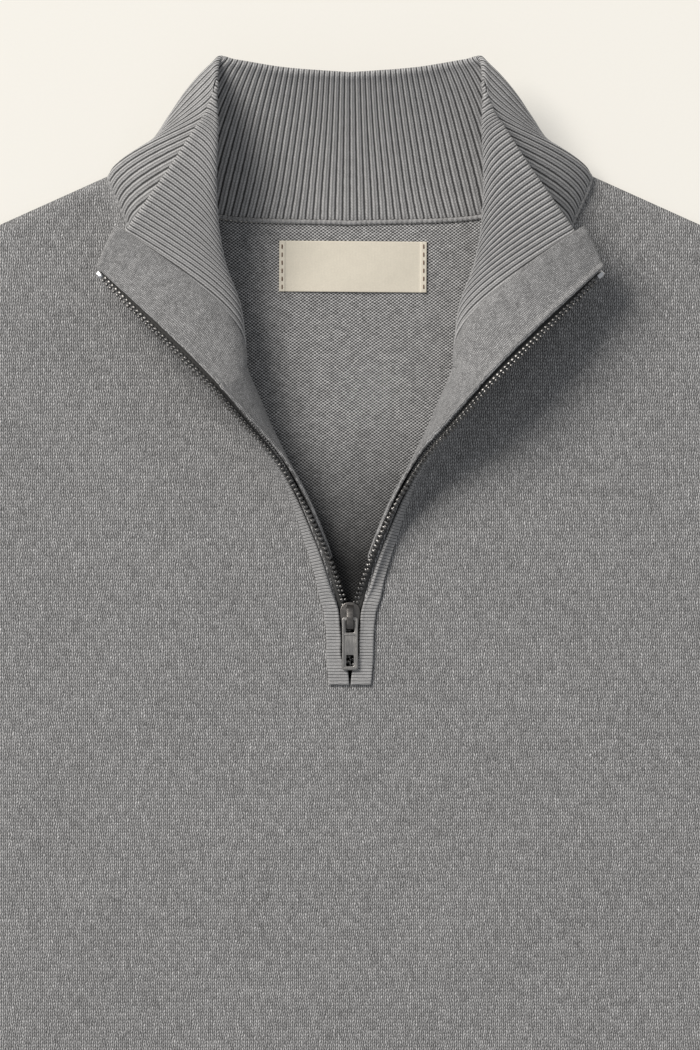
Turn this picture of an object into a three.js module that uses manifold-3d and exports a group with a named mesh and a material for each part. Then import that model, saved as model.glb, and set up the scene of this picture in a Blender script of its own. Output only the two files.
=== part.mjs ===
// A quarter zip sweater lying flat on its back, with its collar and zip opened out.
// Millimetres. X runs across the chest, Y up towards the neck, Z up from the surface.
// Y is 0 at the point where the shoulder seam meets the collar, until the last lines.
import * as THREE from "three";
import * as BufferGeometryUtils from "three/addons/utils/BufferGeometryUtils.js";
import Module from "manifold-3d";

// Sizes of the body
const SHOULDER_NECK = { x: -98.4, y: 0 };
const SHOULDER_TIP = { x: -225, y: -57 };
const UNDERARM = { x: -268, y: -265 };
const ARMHOLE_CURVE = 24;
const BODY_END_Y = -625;
const HEM_DEPTH = 65;
const HEM_HALF_WIDTH = 240;
const SIDE_SEAM = [
  { y: -265, x: -268 },
  { y: -400, x: -266 },
  { y: -540, x: -264 },
  { y: -600, x: -256 },
  { y: -625, x: -244 },
];

// Thickness of the cloth, and what lies on what
const JERSEY = 1.6;
const SEAM_GAP = 0.8;
const STRIP_GAP = 0.4;
const FRONT_EDGE_Z = JERSEY + 0.3 + JERSEY / 2;
const FRONT_PUFF = 2;
const PUFF_FADE = 45;
const COLLAR_WALL = 2;
const RIB_RISE = 0.35;
const RIB_PITCH = 2.9;
const COLLAR_RIBS_HALF = 74;
const COLLAR_SECTION_STEPS = [0.012, 0.28, 0.52, 0.72, 0.87, 1];

// The zip and the strips beside it, measured across from the line of the teeth
const TAPE = { stops: [0.5, 2.9], wall: 1 };
const PANEL_FROM_TEETH = 3.3;
const TRIM = { stops: [4, 6.2, 9.2], wall: 1.2 };
const TRIM_FOOT_STOPS = [0.35, 4.5, 9.2];
const FACING = { stops: [3.6, 6.2, 9.2, 13, 17, 21], wall: 1 };
const PANEL_STOPS = [3.3, 6.2, 9.2, 13, 17, 21];

// Rows of the left half of the front, from the shoulder to the hem. A row starts at
// the neckline or the teeth, turns up through an arc of this turn and radius with a
// straight flap beyond it, and runs flat to the outer edge at the height outerY.
const FRONT_ROWS = [
  { x: -98.4, y: 0, turn: 32, radius: 9, flap: 0, outerY: -57, edge: "neck" },
  { x: -91.4, y: -18.9, turn: 42, radius: 11, flap: 0, outerY: -77, edge: "neck" },
  { x: -77, y: -48.4, turn: 44, radius: 14, flap: 0, outerY: -101, edge: "neck" },
  { x: -63.6, y: -55, turn: 46, radius: 16, flap: 0, outerY: -114, edge: "neck" },
  { x: -51.5, y: -63, turn: 50, radius: 16, flap: 0, outerY: -124, edge: "neck" },
  { x: -47.2, y: -70.3, turn: 60, radius: 16, flap: 0, outerY: -132, edge: "neck" },
  { x: -43.9, y: -76.7, turn: 90, radius: 16, flap: 0, outerY: -139, edge: "neck" },
  { x: -46, y: -80.5, turn: 125, radius: 16, flap: 0, outerY: -144, edge: "neck" },
  { x: -55.4, y: -88.2, turn: 150, radius: 16, flap: 7, outerY: -151, edge: "zip" },
  { x: -43.1, y: -102.1, turn: 130, radius: 14, flap: 6.2, outerY: -165, edge: "zip" },
  { x: -30.8, y: -116, turn: 108, radius: 12, flap: 5, outerY: -180, edge: "zip" },
  { x: -20.5, y: -132, turn: 88, radius: 9.5, flap: 4.5, outerY: -197, edge: "zip" },
  { x: -12.3, y: -148.4, turn: 68, radius: 8, flap: 4, outerY: -214, edge: "zip" },
  { x: -8.2, y: -157.9, turn: 55, radius: 8, flap: 4, outerY: -225, edge: "zip" },
  { x: -4.9, y: -166.9, turn: 38, radius: 7, flap: 4, outerY: -235, edge: "zip" },
  { x: -2.5, y: -174.3, turn: 18, radius: 6, flap: 3.5, outerY: -245, edge: "zip" },
  { x: -1, y: -182, turn: 0, radius: 6, flap: 3.5, outerY: -255, edge: "zip" },
  { x: -0.8, y: -200, turn: 0, radius: 6, flap: 3.5, outerY: -272, edge: "zip" },
  { x: 0, y: -209.5, turn: 0, radius: 6, flap: 3.5, outerY: -290, edge: "middle" },
  { x: 0, y: -235, turn: 0, radius: 6, flap: 3.5, outerY: -320, edge: "middle" },
  { x: 0, y: -300, turn: 0, radius: 6, flap: 3.5, outerY: -380, edge: "middle" },
  { x: 0, y: -400, turn: 0, radius: 6, flap: 3.5, outerY: -465, edge: "middle" },
  { x: 0, y: -520, turn: 0, radius: 6, flap: 3.5, outerY: -555, edge: "middle" },
  { x: 0, y: -590, turn: 0, radius: 6, flap: 3.5, outerY: -600, edge: "middle" },
  { x: 0, y: -625, turn: 0, radius: 6, flap: 3.5, outerY: -625, edge: "middle" },
];
const NECK_STEPS = 5;
const ROLL_STEPS = 4;
const FLAT_STEPS = 4;
const ROLL_RUN_OUT = 12;

// Sections of the left half of the collar, from the middle of the back to the zip.
// "along" is the share of the collar's ribs. Each section is a curve from the seam to
// the top edge, drawn by the two handles low and high.
const COLLAR_SECTIONS = [
  { along: 0, low: [0, -2, 2.5], high: [0, 22.5, 12], top: [0, 42.2, 24] },
  { along: 0.17, low: [-35.3, -1.2, 3], high: [-30.8, 23.4, 13], top: [-26.7, 44.3, 25] },
  { along: 0.3, low: [-68, 5, 7], high: [-58, 31, 21], top: [-47.2, 47.8, 27] },
  { along: 0.337, low: [-84, 10, 10], high: [-68, 36, 25], top: [-52.5, 48.4, 29] },
  { along: 0.4, low: [-92, 11, 16], high: [-54, 31, 36], top: [-54.4, 37.6, 33] },
  { along: 0.47, low: [-92, 10, 20], high: [-40, 19.5, 41], top: [-58.8, 25.5, 35] },
  { along: 0.55, low: [-86, -7, 21], high: [-36, 4, 42], top: [-63, 19, 35.5] },
  { along: 0.65, low: [-72, -25, 18], high: [-33.6, -20.5, 40], top: [-71.8, 5.3, 35] },
  { along: 0.76, low: [-59.5, -45, 14], high: [-30.8, -41, 36], top: [-82, -9.4, 33] },
  { along: 0.85, low: [-46, -58, 14], high: [-32, -55.3, 34], top: [-90.2, -21, 30.5] },
  { along: 0.92, low: [-44, -67, 27], high: [-56, -58, 36], top: [-96, -29.5, 28] },
  { along: 1, low: [-70.5, -72.6, 38], high: [-86.1, -58.6, 33], top: [-102.5, -41, 26] },
];
const BACK_SEAM = [
  { x: 0, y: -19.3, z: 1.45 },
  { x: -53.7, y: -16.8, z: 1.5 },
  { x: -80, y: -9.5, z: 2 },
];

// Rings of the left sleeve, from the armhole to the cuff: the outer edge, the edge
// under the arm, how far the ring bows in and how high the tube stands.
const SLEEVE_RINGS = [
  { ax: -226.1, ay: -57.3, bx: -269.2, by: -265.3, bow: 24, height: 3.6 },
  { ax: -262, ay: -73, bx: -270.5, by: -268, bow: 19, height: 4.6 },
  { ax: -300, ay: -91, bx: -272, by: -271, bow: 14, height: 5.2 },
  { ax: -368, ay: -133, bx: -276, by: -278, bow: 7, height: 5.6 },
  { ax: -420, ay: -185, bx: -283, by: -291, bow: 3, height: 5.6 },
  { ax: -452, ay: -245, bx: -298, by: -322, bow: 0, height: 5.6 },
  { ax: -485, ay: -330, bx: -334, by: -392, bow: 0, height: 5.6 },
  { ax: -520, ay: -430, bx: -388, by: -476, bow: 0, height: 5.4 },
  { ax: -548, ay: -515, bx: -439, by: -552, bow: 0, height: 5.2 },
  { ax: -565, ay: -565, bx: -473.6, by: -596, bow: 0, height: 5 },
];
const CUFF = { length: 65, width: 86, height: 5.2, wall: 1.9, gap: 0.4 };

// The hard pieces of the zip
const SLIDER = { y: -180.6, length: 11, halfWidth: 4.1, tailHalf: 3.2, plate: 0.9 };
const SLIDER_SLOT = { from: 3.4, to: 6.4 };
const SLIDER_TOP = SLIDER_SLOT.to + SLIDER.plate;
const POST_HALF = 0.6;
const CROWN_HALF_WIDTH = 1.4;
const CROWN_OUTLINE = [
  { y: -186.4, rise: -0.2 }, { y: -186.3, rise: 1.9 }, { y: -184.6, rise: 3.1 },
  { y: -181, rise: 3.1 }, { y: -177.6, rise: 1.6 }, { y: -176, rise: -0.2 },
  { y: -177.2, rise: -0.2 }, { y: -178.4, rise: 1 }, { y: -181.2, rise: 2.2 },
  { y: -184.2, rise: 2.2 }, { y: -185.3, rise: 1.4 }, { y: -185.4, rise: -0.2 },
];
const PULL_PIVOT = { y: -182, z: SLIDER_TOP + 1.15 };
const PULL = { halfWidth: 3.3, length: 21, wall: 1.1, nose: 0.7 };
const PULL_WINDOW = { halfWidth: 1.8, from: 0.6, to: 5.6 };
const PULL_SLOT = { halfWidth: 1.6, from: 14.8, to: 19.4 };
const STOP = { width: 2.6, length: 3.4, height: 2.2 };
const LABEL = { x: 1.2, y: -37.5, width: 60.6, height: 20.9, wall: 0.8, tilt: -0.008 };

// Looks of the pieces
const heather = new THREE.MeshStandardMaterial({ color: 0x85847f, roughness: 0.95 });
const ribKnit = new THREE.MeshStandardMaterial({ color: 0x7f7e7a, roughness: 0.95 });
const tapeCloth = new THREE.MeshStandardMaterial({ color: 0x6d6c69, roughness: 0.9 });
const labelCloth = new THREE.MeshStandardMaterial({ color: 0xd6cebd, roughness: 0.8 });
const gunmetal = new THREE.MeshStandardMaterial({ color: 0x77777a, roughness: 0.35, metalness: 1 });
const silver = new THREE.MeshStandardMaterial({ color: 0xb9babd, roughness: 0.25, metalness: 1 });

const wasm = await Module();
wasm.setup();
const sweater = new THREE.Group();

function addMesh(name, geometry, material) {
  const mesh = new THREE.Mesh(geometry, material);
  mesh.name = name;
  sweater.add(mesh);
  return mesh;
}

const mix = (a, b, t) => a + (b - a) * t;
const clamp = (t) => Math.min(1, Math.max(0, t));
const ease = (t) => clamp(t) * clamp(t) * (3 - 2 * clamp(t));

// A smooth value between table entries: keys rise, values follow them.
function smoothValue(keys, values, at) {
  const last = keys.length - 1;
  let k = 0;
  while (k < last - 1 && at > keys[k + 1]) k += 1;
  const slope = (i) => {
    const lo = Math.max(0, i - 1);
    const hi = Math.min(last, i + 1);
    return (values[hi] - values[lo]) / (keys[hi] - keys[lo]);
  };
  const span = keys[k + 1] - keys[k];
  const t = clamp((at - keys[k]) / span);
  const h = t * t * (3 - 2 * t);
  const pull = t * (1 - t) * span;
  return mix(values[k], values[k + 1], h)
    + pull * ((1 - t) * slope(k) - t * slope(k + 1));
}

// A closed wall over patches of points. Each point has its place p on the middle of
// the cloth and how far the wall reaches up and down from there. A mirrored patch has
// its faces turned round.
function wallGeometry(patches) {
  const index = new Map();
  const points = [];
  const faces = [];
  const place = (entry) => {
    const key = [entry.p.x, entry.p.y, entry.p.z].map((v) => Math.round(v * 500)).join();
    if (!index.has(key)) {
      index.set(key, points.length);
      points.push({ ...entry, normal: new THREE.Vector3() });
    }
    return index.get(key);
  };
  for (const patch of patches) {
    const ids = patch.rows.map((row) => row.map(place));
    for (let i = 0; i + 1 < ids.length; i += 1) {
      for (let j = 0; j + 1 < ids[i].length; j += 1) {
        const [a, b, c, d] = [ids[i][j], ids[i][j + 1], ids[i + 1][j + 1], ids[i + 1][j]];
        for (const [p, q, r] of [[a, b, c], [a, c, d]]) {
          if (new Set([p, q, r]).size === 3) faces.push(patch.mirror ? [p, r, q] : [p, q, r]);
        }
      }
    }
  }
  const used = new Set();
  for (const [a, b, c] of faces) {
    const side = points[b].p.clone().sub(points[a].p);
    side.cross(points[c].p.clone().sub(points[a].p));
    for (const id of [a, b, c]) points[id].normal.add(side);
    for (const [from, to] of [[a, b], [b, c], [c, a]]) used.add(`${from},${to}`);
  }
  const spots = [];
  for (const point of points) {
    const normal = point.normal.normalize();
    spots.push(...point.p.clone().addScaledVector(normal, point.up).toArray());
    spots.push(...point.p.clone().addScaledVector(normal, -point.down).toArray());
  }
  const corners = [];
  for (const [a, b, c] of faces) {
    corners.push(2 * a, 2 * b, 2 * c, 2 * a + 1, 2 * c + 1, 2 * b + 1);
    for (const [from, to] of [[a, b], [b, c], [c, a]]) {
      if (used.has(`${to},${from}`)) continue;
      corners.push(2 * to, 2 * from, 2 * from + 1, 2 * to, 2 * from + 1, 2 * to + 1);
    }
  }
  const geometry = new THREE.BufferGeometry();
  geometry.setAttribute("position", new THREE.Float32BufferAttribute(spots, 3));
  geometry.setIndex(corners);
  geometry.computeVertexNormals();
  return geometry;
}

const even = (p, wall, shift = 0) => ({ p, up: shift + wall / 2, down: wall / 2 - shift });

// The left patch and its copy on the right side.
function bothSides(rows) {
  const right = rows.map((row) => row.map((entry) => ({
    ...entry, p: new THREE.Vector3(-entry.p.x, entry.p.y, entry.p.z),
  })));
  return [{ rows, mirror: false }, { rows: right, mirror: true }];
}

// Outline of the body: x of the left edge at a height y.
function sideX(y) {
  if (y < UNDERARM.y) {
    const keys = SIDE_SEAM.map((row) => -row.y);
    return smoothValue(keys, SIDE_SEAM.map((row) => row.x), -y);
  }
  const t = (SHOULDER_TIP.y - y) / (SHOULDER_TIP.y - UNDERARM.y);
  return mix(SHOULDER_TIP.x, UNDERARM.x, t) + ARMHOLE_CURVE * 4 * t * (1 - t);
}

// Height of the middle of the front's cloth where it lies on the back.
function frontLevel(x, y) {
  const outward = clamp(Math.abs(x / sideX(Math.min(y, SHOULDER_TIP.y))));
  const slope = (SHOULDER_TIP.y - SHOULDER_NECK.y) / (SHOULDER_TIP.x - SHOULDER_NECK.x);
  const belowShoulder = SHOULDER_NECK.y - (Math.abs(x) + SHOULDER_NECK.x) * slope - y;
  const fade = ease(belowShoulder / PUFF_FADE) * ease((y - BODY_END_Y) / PUFF_FADE);
  return FRONT_EDGE_Z + FRONT_PUFF * (1 - outward ** 4) * fade;
}

// A point of a front row, this far along the cloth from its start.
function rowPoint(row, along) {
  const turn = THREE.MathUtils.degToRad(row.turn);
  const outerX = sideX(row.outerY);
  const span = Math.hypot(outerX - row.x, row.outerY - row.y);
  const dx = (outerX - row.x) / span;
  const dy = (row.outerY - row.y) / span;
  const arc = row.radius * turn;
  const landing = row.radius * Math.sin(turn) + row.flap * Math.cos(turn);
  let out = landing + along - row.flap - arc;
  let rise = 0;
  if (along < row.flap) {
    const left = row.flap - along;
    out = landing - row.radius * Math.sin(turn) - left * Math.cos(turn);
    rise = row.radius * (1 - Math.cos(turn)) + left * Math.sin(turn);
  } else if (along < row.flap + arc) {
    const angle = turn - (along - row.flap) / row.radius;
    out = landing - row.radius * Math.sin(angle);
    rise = row.radius * (1 - Math.cos(angle));
  }
  const x = row.x + dx * out;
  const y = row.y + dy * out;
  return new THREE.Vector3(x, y, frontLevel(x, y) + rise);
}

// How far along its cloth a row reaches its outer edge.
function rowLength(row) {
  const turn = THREE.MathUtils.degToRad(row.turn);
  const landing = row.radius * Math.sin(turn) + row.flap * Math.cos(turn);
  const span = Math.hypot(sideX(row.outerY) - row.x, row.outerY - row.y);
  return row.flap + row.radius * turn + span - landing;
}

function makeFront() {
  const rows = FRONT_ROWS.map((row) => (
    frontStops(row).map((along) => even(rowPoint(row, along), JERSEY))
  ));
  addMesh("front", wallGeometry(bothSides(rows)), heather);
}

// Where a row of the front has its points, along its cloth.
function frontStops(row) {
  const arc = row.radius * THREE.MathUtils.degToRad(row.turn);
  const rollEnd = Math.max(row.flap + arc, PANEL_STOPS[NECK_STEPS]) + ROLL_RUN_OUT;
  const stops = [...PANEL_STOPS];
  if (row.edge !== "zip") {
    const start = row.edge === "neck" ? SEAM_GAP : 0;
    for (let j = 0; j <= NECK_STEPS; j += 1) {
      stops[j] = mix(start, PANEL_STOPS[NECK_STEPS], j / NECK_STEPS);
    }
  }
  for (let j = 1; j <= ROLL_STEPS; j += 1) {
    stops.push(mix(PANEL_STOPS[NECK_STEPS], rollEnd, j / ROLL_STEPS));
  }
  for (let j = 1; j <= FLAT_STEPS; j += 1) {
    stops.push(mix(rollEnd, rowLength(row), j / FLAT_STEPS));
  }
  return stops;
}


// The seam of the collar, from the middle of the back round to the teeth.
function collarSeam() {
  const back = BACK_SEAM.map((s) => new THREE.Vector3(s.x, s.y, s.z));
  const neck = FRONT_ROWS.filter((row) => row.edge === "neck");
  const front = neck.map((row) => rowPoint(row, 0));
  const corner = rowPoint(FRONT_ROWS.find((row) => row.edge === "zip"), 0);
  return new THREE.CatmullRomCurve3([...back, ...front, corner], false, "centripetal");
}

const seamCurve = collarSeam();
seamCurve.arcLengthDivisions = 400;

// A point of the collar: along its ribs' count, and up from the seam to the top edge.
function collarPoint(along, up) {
  const keys = COLLAR_SECTIONS.map((section) => section.along);
  const handle = (name) => new THREE.Vector3(
    ...[0, 1, 2].map((axis) => smoothValue(
      keys, COLLAR_SECTIONS.map((section) => section[name][axis]), along,
    )),
  );
  const curve = new THREE.CubicBezierCurve3(
    seamCurve.getPointAt(clamp(along)), handle("low"), handle("high"), handle("top"),
  );
  return curve.getPoint(up);
}

// The collar's share of ribs that lies this many millimetres from the teeth.
function collarAlong(fromTeeth, up) {
  const seam = seamCurve.getLength();
  const top = seam * 0.69;
  return 1 - fromTeeth / mix(seam, top, up);
}

function makeCollar() {
  const columns = 2 * COLLAR_RIBS_HALF;
  const half = COLLAR_SECTION_STEPS.map((up) => {
    const end = collarAlong(PANEL_FROM_TEETH, up);
    const row = [];
    for (let j = 0; j <= columns; j += 1) {
      const ridge = j % 2 === 0 ? RIB_RISE : 0;
      const p = collarPoint(end * (j / columns), up);
      row.push({ p, up: COLLAR_WALL / 2 + ridge, down: COLLAR_WALL / 2 + RIB_RISE - ridge });
    }
    return row;
  });
  addMesh("collar", wallGeometry(bothSides(half)), ribKnit);
}

// Lines across a strip beside the zip, from the collar's top down to the row lastY.
function besideZip(lastY, stops) {
  const collarLines = COLLAR_SECTION_STEPS.map((up) => (
    stops.map((fromTeeth) => collarPoint(collarAlong(fromTeeth, up), up))
  ));
  const zipRows = FRONT_ROWS.filter((row) => row.edge === "zip" && row.y >= lastY);
  const frontLines = zipRows.map((row) => stops.map((along) => rowPoint(row, along)));
  return [...collarLines.reverse(), ...frontLines];
}

function addPair(name, rows, material) {
  const [left, right] = bothSides(rows);
  addMesh(`${name}_left`, wallGeometry([left]), material);
  addMesh(`${name}_right`, wallGeometry([right]), material);
}

function makeTapes() {
  const lines = besideZip(-200, TAPE.stops);
  addPair("zip_tape", lines.map((line) => line.map((p) => even(p, TAPE.wall))), tapeCloth);
}

function makeFacings() {
  const lift = -(COLLAR_WALL / 2 + RIB_RISE + STRIP_GAP + FACING.wall / 2);
  const lines = besideZip(-158, FACING.stops);
  addPair("facing", lines.map((line) => line.map((p) => even(p, FACING.wall, lift))), heather);
}

// A point beside the closed zip, level with the row's start.
function straightAcross(row, along) {
  return new THREE.Vector3(row.x - along, row.y, frontLevel(row.x - along, row.y));
}

function makeTrims() {
  const lift = JERSEY / 2 + STRIP_GAP + TRIM.wall / 2;
  const rows = FRONT_ROWS.filter((row) => row.y <= -88 && row.y >= -210).map((row) => {
    const stops = row.edge === "middle" ? TRIM_FOOT_STOPS : TRIM.stops;
    const place = row.turn === 0 ? straightAcross : rowPoint;
    return stops.map((along) => even(place(row, along), TRIM.wall, lift));
  });
  addPair("trim", rows, ribKnit);
}

function extruded(shape, depth) {
  return new THREE.ExtrudeGeometry(shape, { depth, bevelEnabled: false, curveSegments: 8 });
}

function makeBack() {
  const outline = [];
  const gap = 0.3;
  for (let k = 0; k <= 20; k += 1) {
    const p = seamCurve.getPointAt((k / 20) * backShare());
    outline.push(new THREE.Vector2(p.x, p.y - COLLAR_WALL / 2 - gap));
  }
  outline.push(new THREE.Vector2(SHOULDER_TIP.x, SHOULDER_TIP.y));
  for (let k = 1; k <= 10; k += 1) {
    const y = mix(SHOULDER_TIP.y, UNDERARM.y, k / 10);
    outline.push(new THREE.Vector2(sideX(y), y));
  }
  for (let k = 1; k <= 10; k += 1) {
    const y = mix(UNDERARM.y, BODY_END_Y, k / 10);
    outline.push(new THREE.Vector2(sideX(y), y));
  }
  const right = outline.slice(1).reverse().map((p) => new THREE.Vector2(-p.x, p.y));
  addMesh("back", extruded(new THREE.Shape([...outline, ...right]), JERSEY), heather);
}

// The share of the collar's seam that lies on the back panel.
function backShare() {
  const limit = SHOULDER_NECK.x + 3;
  let share = 0.2;
  while (seamCurve.getPointAt(share).x > limit) share += 0.002;
  return share;
}

// A ribbed strip in outline: ridges above a plain underside, from x0 to x1.
function ribbedTop(shape, x0, x1, z) {
  const ribs = Math.round(Math.abs(x1 - x0) / RIB_PITCH);
  for (let k = 0; k <= 2 * ribs; k += 1) {
    const rise = k % 2 === 0 ? 0 : RIB_RISE * 1.4;
    shape.lineTo(mix(x0, x1, k / (2 * ribs)), z + rise);
  }
}

function makeHem() {
  const z0 = JERSEY + 0.3;
  const shape = new THREE.Shape();
  shape.moveTo(-HEM_HALF_WIDTH, z0);
  shape.lineTo(HEM_HALF_WIDTH, z0);
  ribbedTop(shape, HEM_HALF_WIDTH, -HEM_HALF_WIDTH, z0 + JERSEY + 0.2);
  const front = extruded(shape, HEM_DEPTH);
  front.rotateX(Math.PI / 2);
  front.translate(0, BODY_END_Y - SEAM_GAP, 0);
  addMesh("hem_front", front, ribKnit);
  const back = new THREE.BoxGeometry(2 * HEM_HALF_WIDTH, HEM_DEPTH, JERSEY);
  back.translate(0, BODY_END_Y - SEAM_GAP - HEM_DEPTH / 2, JERSEY / 2);
  addMesh("hem_back", back, ribKnit);
}

// One ring of the sleeve's cloth, round from the outer edge over the top and back.
function sleeveRing(ring) {
  const high = ring.height - JERSEY;
  const across = [0.02, 0.16, 0.33, 0.5, 0.67, 0.84, 0.98];
  const top = across.map((t) => [t, high]);
  const under = [0.98, 0.66, 0.33, 0.02].map((t) => [t, 0]);
  const round = [...top, [1, high / 2], ...under, [0, high / 2]];
  const points = round.map(([t, z]) => new THREE.Vector3(
    mix(ring.ax, ring.bx, t) + ring.bow * 4 * t * (1 - t),
    mix(ring.ay, ring.by, t),
    z + JERSEY / 2,
  ));
  return [...points, points[0].clone()];
}

function makeSleeves() {
  const rows = SLEEVE_RINGS.map((ring) => sleeveRing(ring).map((p) => even(p, JERSEY)));
  addPair("sleeve", rows, heather);
}

// A closed flat tube in outline: ribs on top, plain below, rounded at the two edges.
function cuffOutline() {
  const half = CUFF.width / 2;
  const round = CUFF.height / 2;
  const shape = new THREE.Shape();
  shape.moveTo(-half + round, 0);
  shape.lineTo(half - round, 0);
  shape.absarc(half - round, round, round, -Math.PI / 2, Math.PI / 2);
  ribbedTop(shape, half - round, -half + round, CUFF.height);
  shape.absarc(-half + round, round, round, Math.PI / 2, 1.5 * Math.PI);
  const inner = round - CUFF.wall;
  const hole = new THREE.Path();
  hole.moveTo(-half + round, CUFF.wall);
  hole.absarc(-half + round, round, inner, 1.5 * Math.PI, Math.PI / 2, true);
  hole.lineTo(half - round, round + inner);
  hole.absarc(half - round, round, inner, Math.PI / 2, -Math.PI / 2, true);
  shape.holes.push(hole);
  return shape;
}

function makeCuffs() {
  const end = SLEEVE_RINGS[SLEEVE_RINGS.length - 1];
  const along = new THREE.Vector2(end.by - end.ay, end.ax - end.bx).normalize();
  const angle = Math.atan2(end.by - end.ay, end.bx - end.ax);
  for (const [name, side] of [["cuff_left", 1], ["cuff_right", -1]]) {
    const geometry = extruded(cuffOutline(), CUFF.length);
    geometry.rotateX(Math.PI / 2);
    geometry.rotateZ(side * angle);
    geometry.translate(
      side * ((end.ax + end.bx) / 2 + along.x * CUFF.gap),
      (end.ay + end.by) / 2 + along.y * CUFF.gap,
      0,
    );
    addMesh(name, geometry, ribKnit);
  }
}

// A solid for joining and cutting, and back.
function toSolid(geometry) {
  geometry.deleteAttribute("normal");
  geometry.deleteAttribute("uv");
  const merged = BufferGeometryUtils.mergeVertices(geometry, 1e-4);
  return new wasm.Manifold(new wasm.Mesh({
    numProp: 3,
    vertProperties: merged.attributes.position.array,
    triVerts: new Uint32Array(merged.index.array),
  }));
}

function fromSolid(solid) {
  const mesh = solid.getMesh();
  const geometry = new THREE.BufferGeometry();
  geometry.setAttribute("position", new THREE.BufferAttribute(mesh.vertProperties, 3));
  geometry.setIndex(new THREE.BufferAttribute(mesh.triVerts, 1));
  geometry.computeVertexNormals();
  return geometry;
}

// The slider's plate seen from above: a round nose and a narrower tail.
function sliderPlate(z, depth) {
  const { length, halfWidth, tailHalf } = SLIDER;
  const shape = new THREE.Shape();
  shape.moveTo(-tailHalf, -length / 2);
  shape.lineTo(tailHalf, -length / 2);
  shape.lineTo(halfWidth, 0);
  shape.lineTo(halfWidth, length / 2 - halfWidth);
  shape.absarc(0, length / 2 - halfWidth, halfWidth, 0, Math.PI);
  shape.lineTo(-halfWidth, 0);
  const plate = extruded(shape, depth);
  plate.translate(0, SLIDER.y, z);
  return plate;
}

// The crown over the slider, a bent strip drawn from the side and turned upright.
function sliderCrown() {
  const side = CROWN_OUTLINE.map((p) => new THREE.Vector2(p.y, SLIDER_TOP + p.rise));
  const crown = extruded(new THREE.Shape(side), 2 * CROWN_HALF_WIDTH);
  crown.rotateX(Math.PI / 2);
  crown.rotateZ(Math.PI / 2);
  crown.translate(-CROWN_HALF_WIDTH, 0, 0);
  return crown;
}

function makeSlider() {
  const { from, to } = SLIDER_SLOT;
  const post = new THREE.BoxGeometry(2 * POST_HALF, 3, to - from + 0.4);
  post.translate(0, SLIDER.y + SLIDER.length / 2 - 2.4, (from + to) / 2);
  const solid = toSolid(sliderPlate(from - SLIDER.plate, SLIDER.plate))
    .add(toSolid(sliderPlate(to, SLIDER.plate)))
    .add(toSolid(post))
    .add(toSolid(sliderCrown()));
  addMesh("zip_slider", fromSolid(solid), gunmetal);
}

function rectangle(halfWidth, from, to) {
  return new THREE.Path([
    new THREE.Vector2(-halfWidth, -from),
    new THREE.Vector2(halfWidth, -from),
    new THREE.Vector2(halfWidth, -to),
    new THREE.Vector2(-halfWidth, -to),
  ]);
}

// The pull tab lies flat towards the hem and turns on its top bar under the crown.
function makePull() {
  const shape = new THREE.Shape();
  const { halfWidth, length, wall, nose } = PULL;
  const round = 1.2;
  shape.moveTo(halfWidth, nose);
  shape.lineTo(-halfWidth, nose);
  shape.lineTo(-halfWidth, -length + round);
  shape.lineTo(-halfWidth + round, -length);
  shape.lineTo(halfWidth - round, -length);
  shape.lineTo(halfWidth, -length + round);
  shape.holes.push(rectangle(PULL_WINDOW.halfWidth, PULL_WINDOW.from, PULL_WINDOW.to));
  shape.holes.push(rectangle(PULL_SLOT.halfWidth, PULL_SLOT.from, PULL_SLOT.to));
  const geometry = extruded(shape, wall);
  geometry.translate(0, PULL_PIVOT.y, PULL_PIVOT.z - wall / 2);
  addMesh("zip_pull", geometry, gunmetal);
}

// A small clip over the top end of each row of teeth.
function makeStops() {
  const end = collarPoint(1, 1);
  const below = collarPoint(1, 0.9);
  const out = end.clone().sub(below).normalize();
  for (const [name, side] of [["zip_stop_left", 1], ["zip_stop_right", -1]]) {
    const geometry = new THREE.BoxGeometry(STOP.width, STOP.length, STOP.height);
    geometry.rotateZ(side * Math.atan2(-out.x, out.y));
    const p = end.clone().addScaledVector(out, STOP.length / 2 + SEAM_GAP);
    geometry.translate(side * p.x, p.y, p.z);
    addMesh(name, geometry, silver);
  }
}

function makeLabel() {
  const geometry = new THREE.BoxGeometry(LABEL.width, LABEL.height, LABEL.wall);
  geometry.rotateZ(LABEL.tilt);
  geometry.translate(LABEL.x, LABEL.y, JERSEY + 0.3 + LABEL.wall / 2);
  addMesh("neck_label", geometry, labelCloth);
}

makeBack();
makeFront();
makeHem();
makeSleeves();
makeCuffs();
makeCollar();
makeTrims();
makeFacings();
makeTapes();
makeSlider();
makePull();
makeStops();
makeLabel();

// The origin is the middle of the box's underside.
const box = new THREE.Box3().setFromObject(sweater);
const middle = box.getCenter(new THREE.Vector3());
sweater.position.set(-middle.x, -middle.y, -box.min.z);
const group = new THREE.Group();
group.add(sweater);

export default group;
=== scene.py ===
# %% [markdown]
# A quarter zip sweater lies on its back on a pale table. Its ribbed collar and the top
# of its zip are opened out, so the inside of the collar rolls over into view. The
# solids give every piece its place. This file dresses them: real ribs, a finer roll,
# the knit of each cloth, the zip's teeth, the sewing and the metal.

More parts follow.
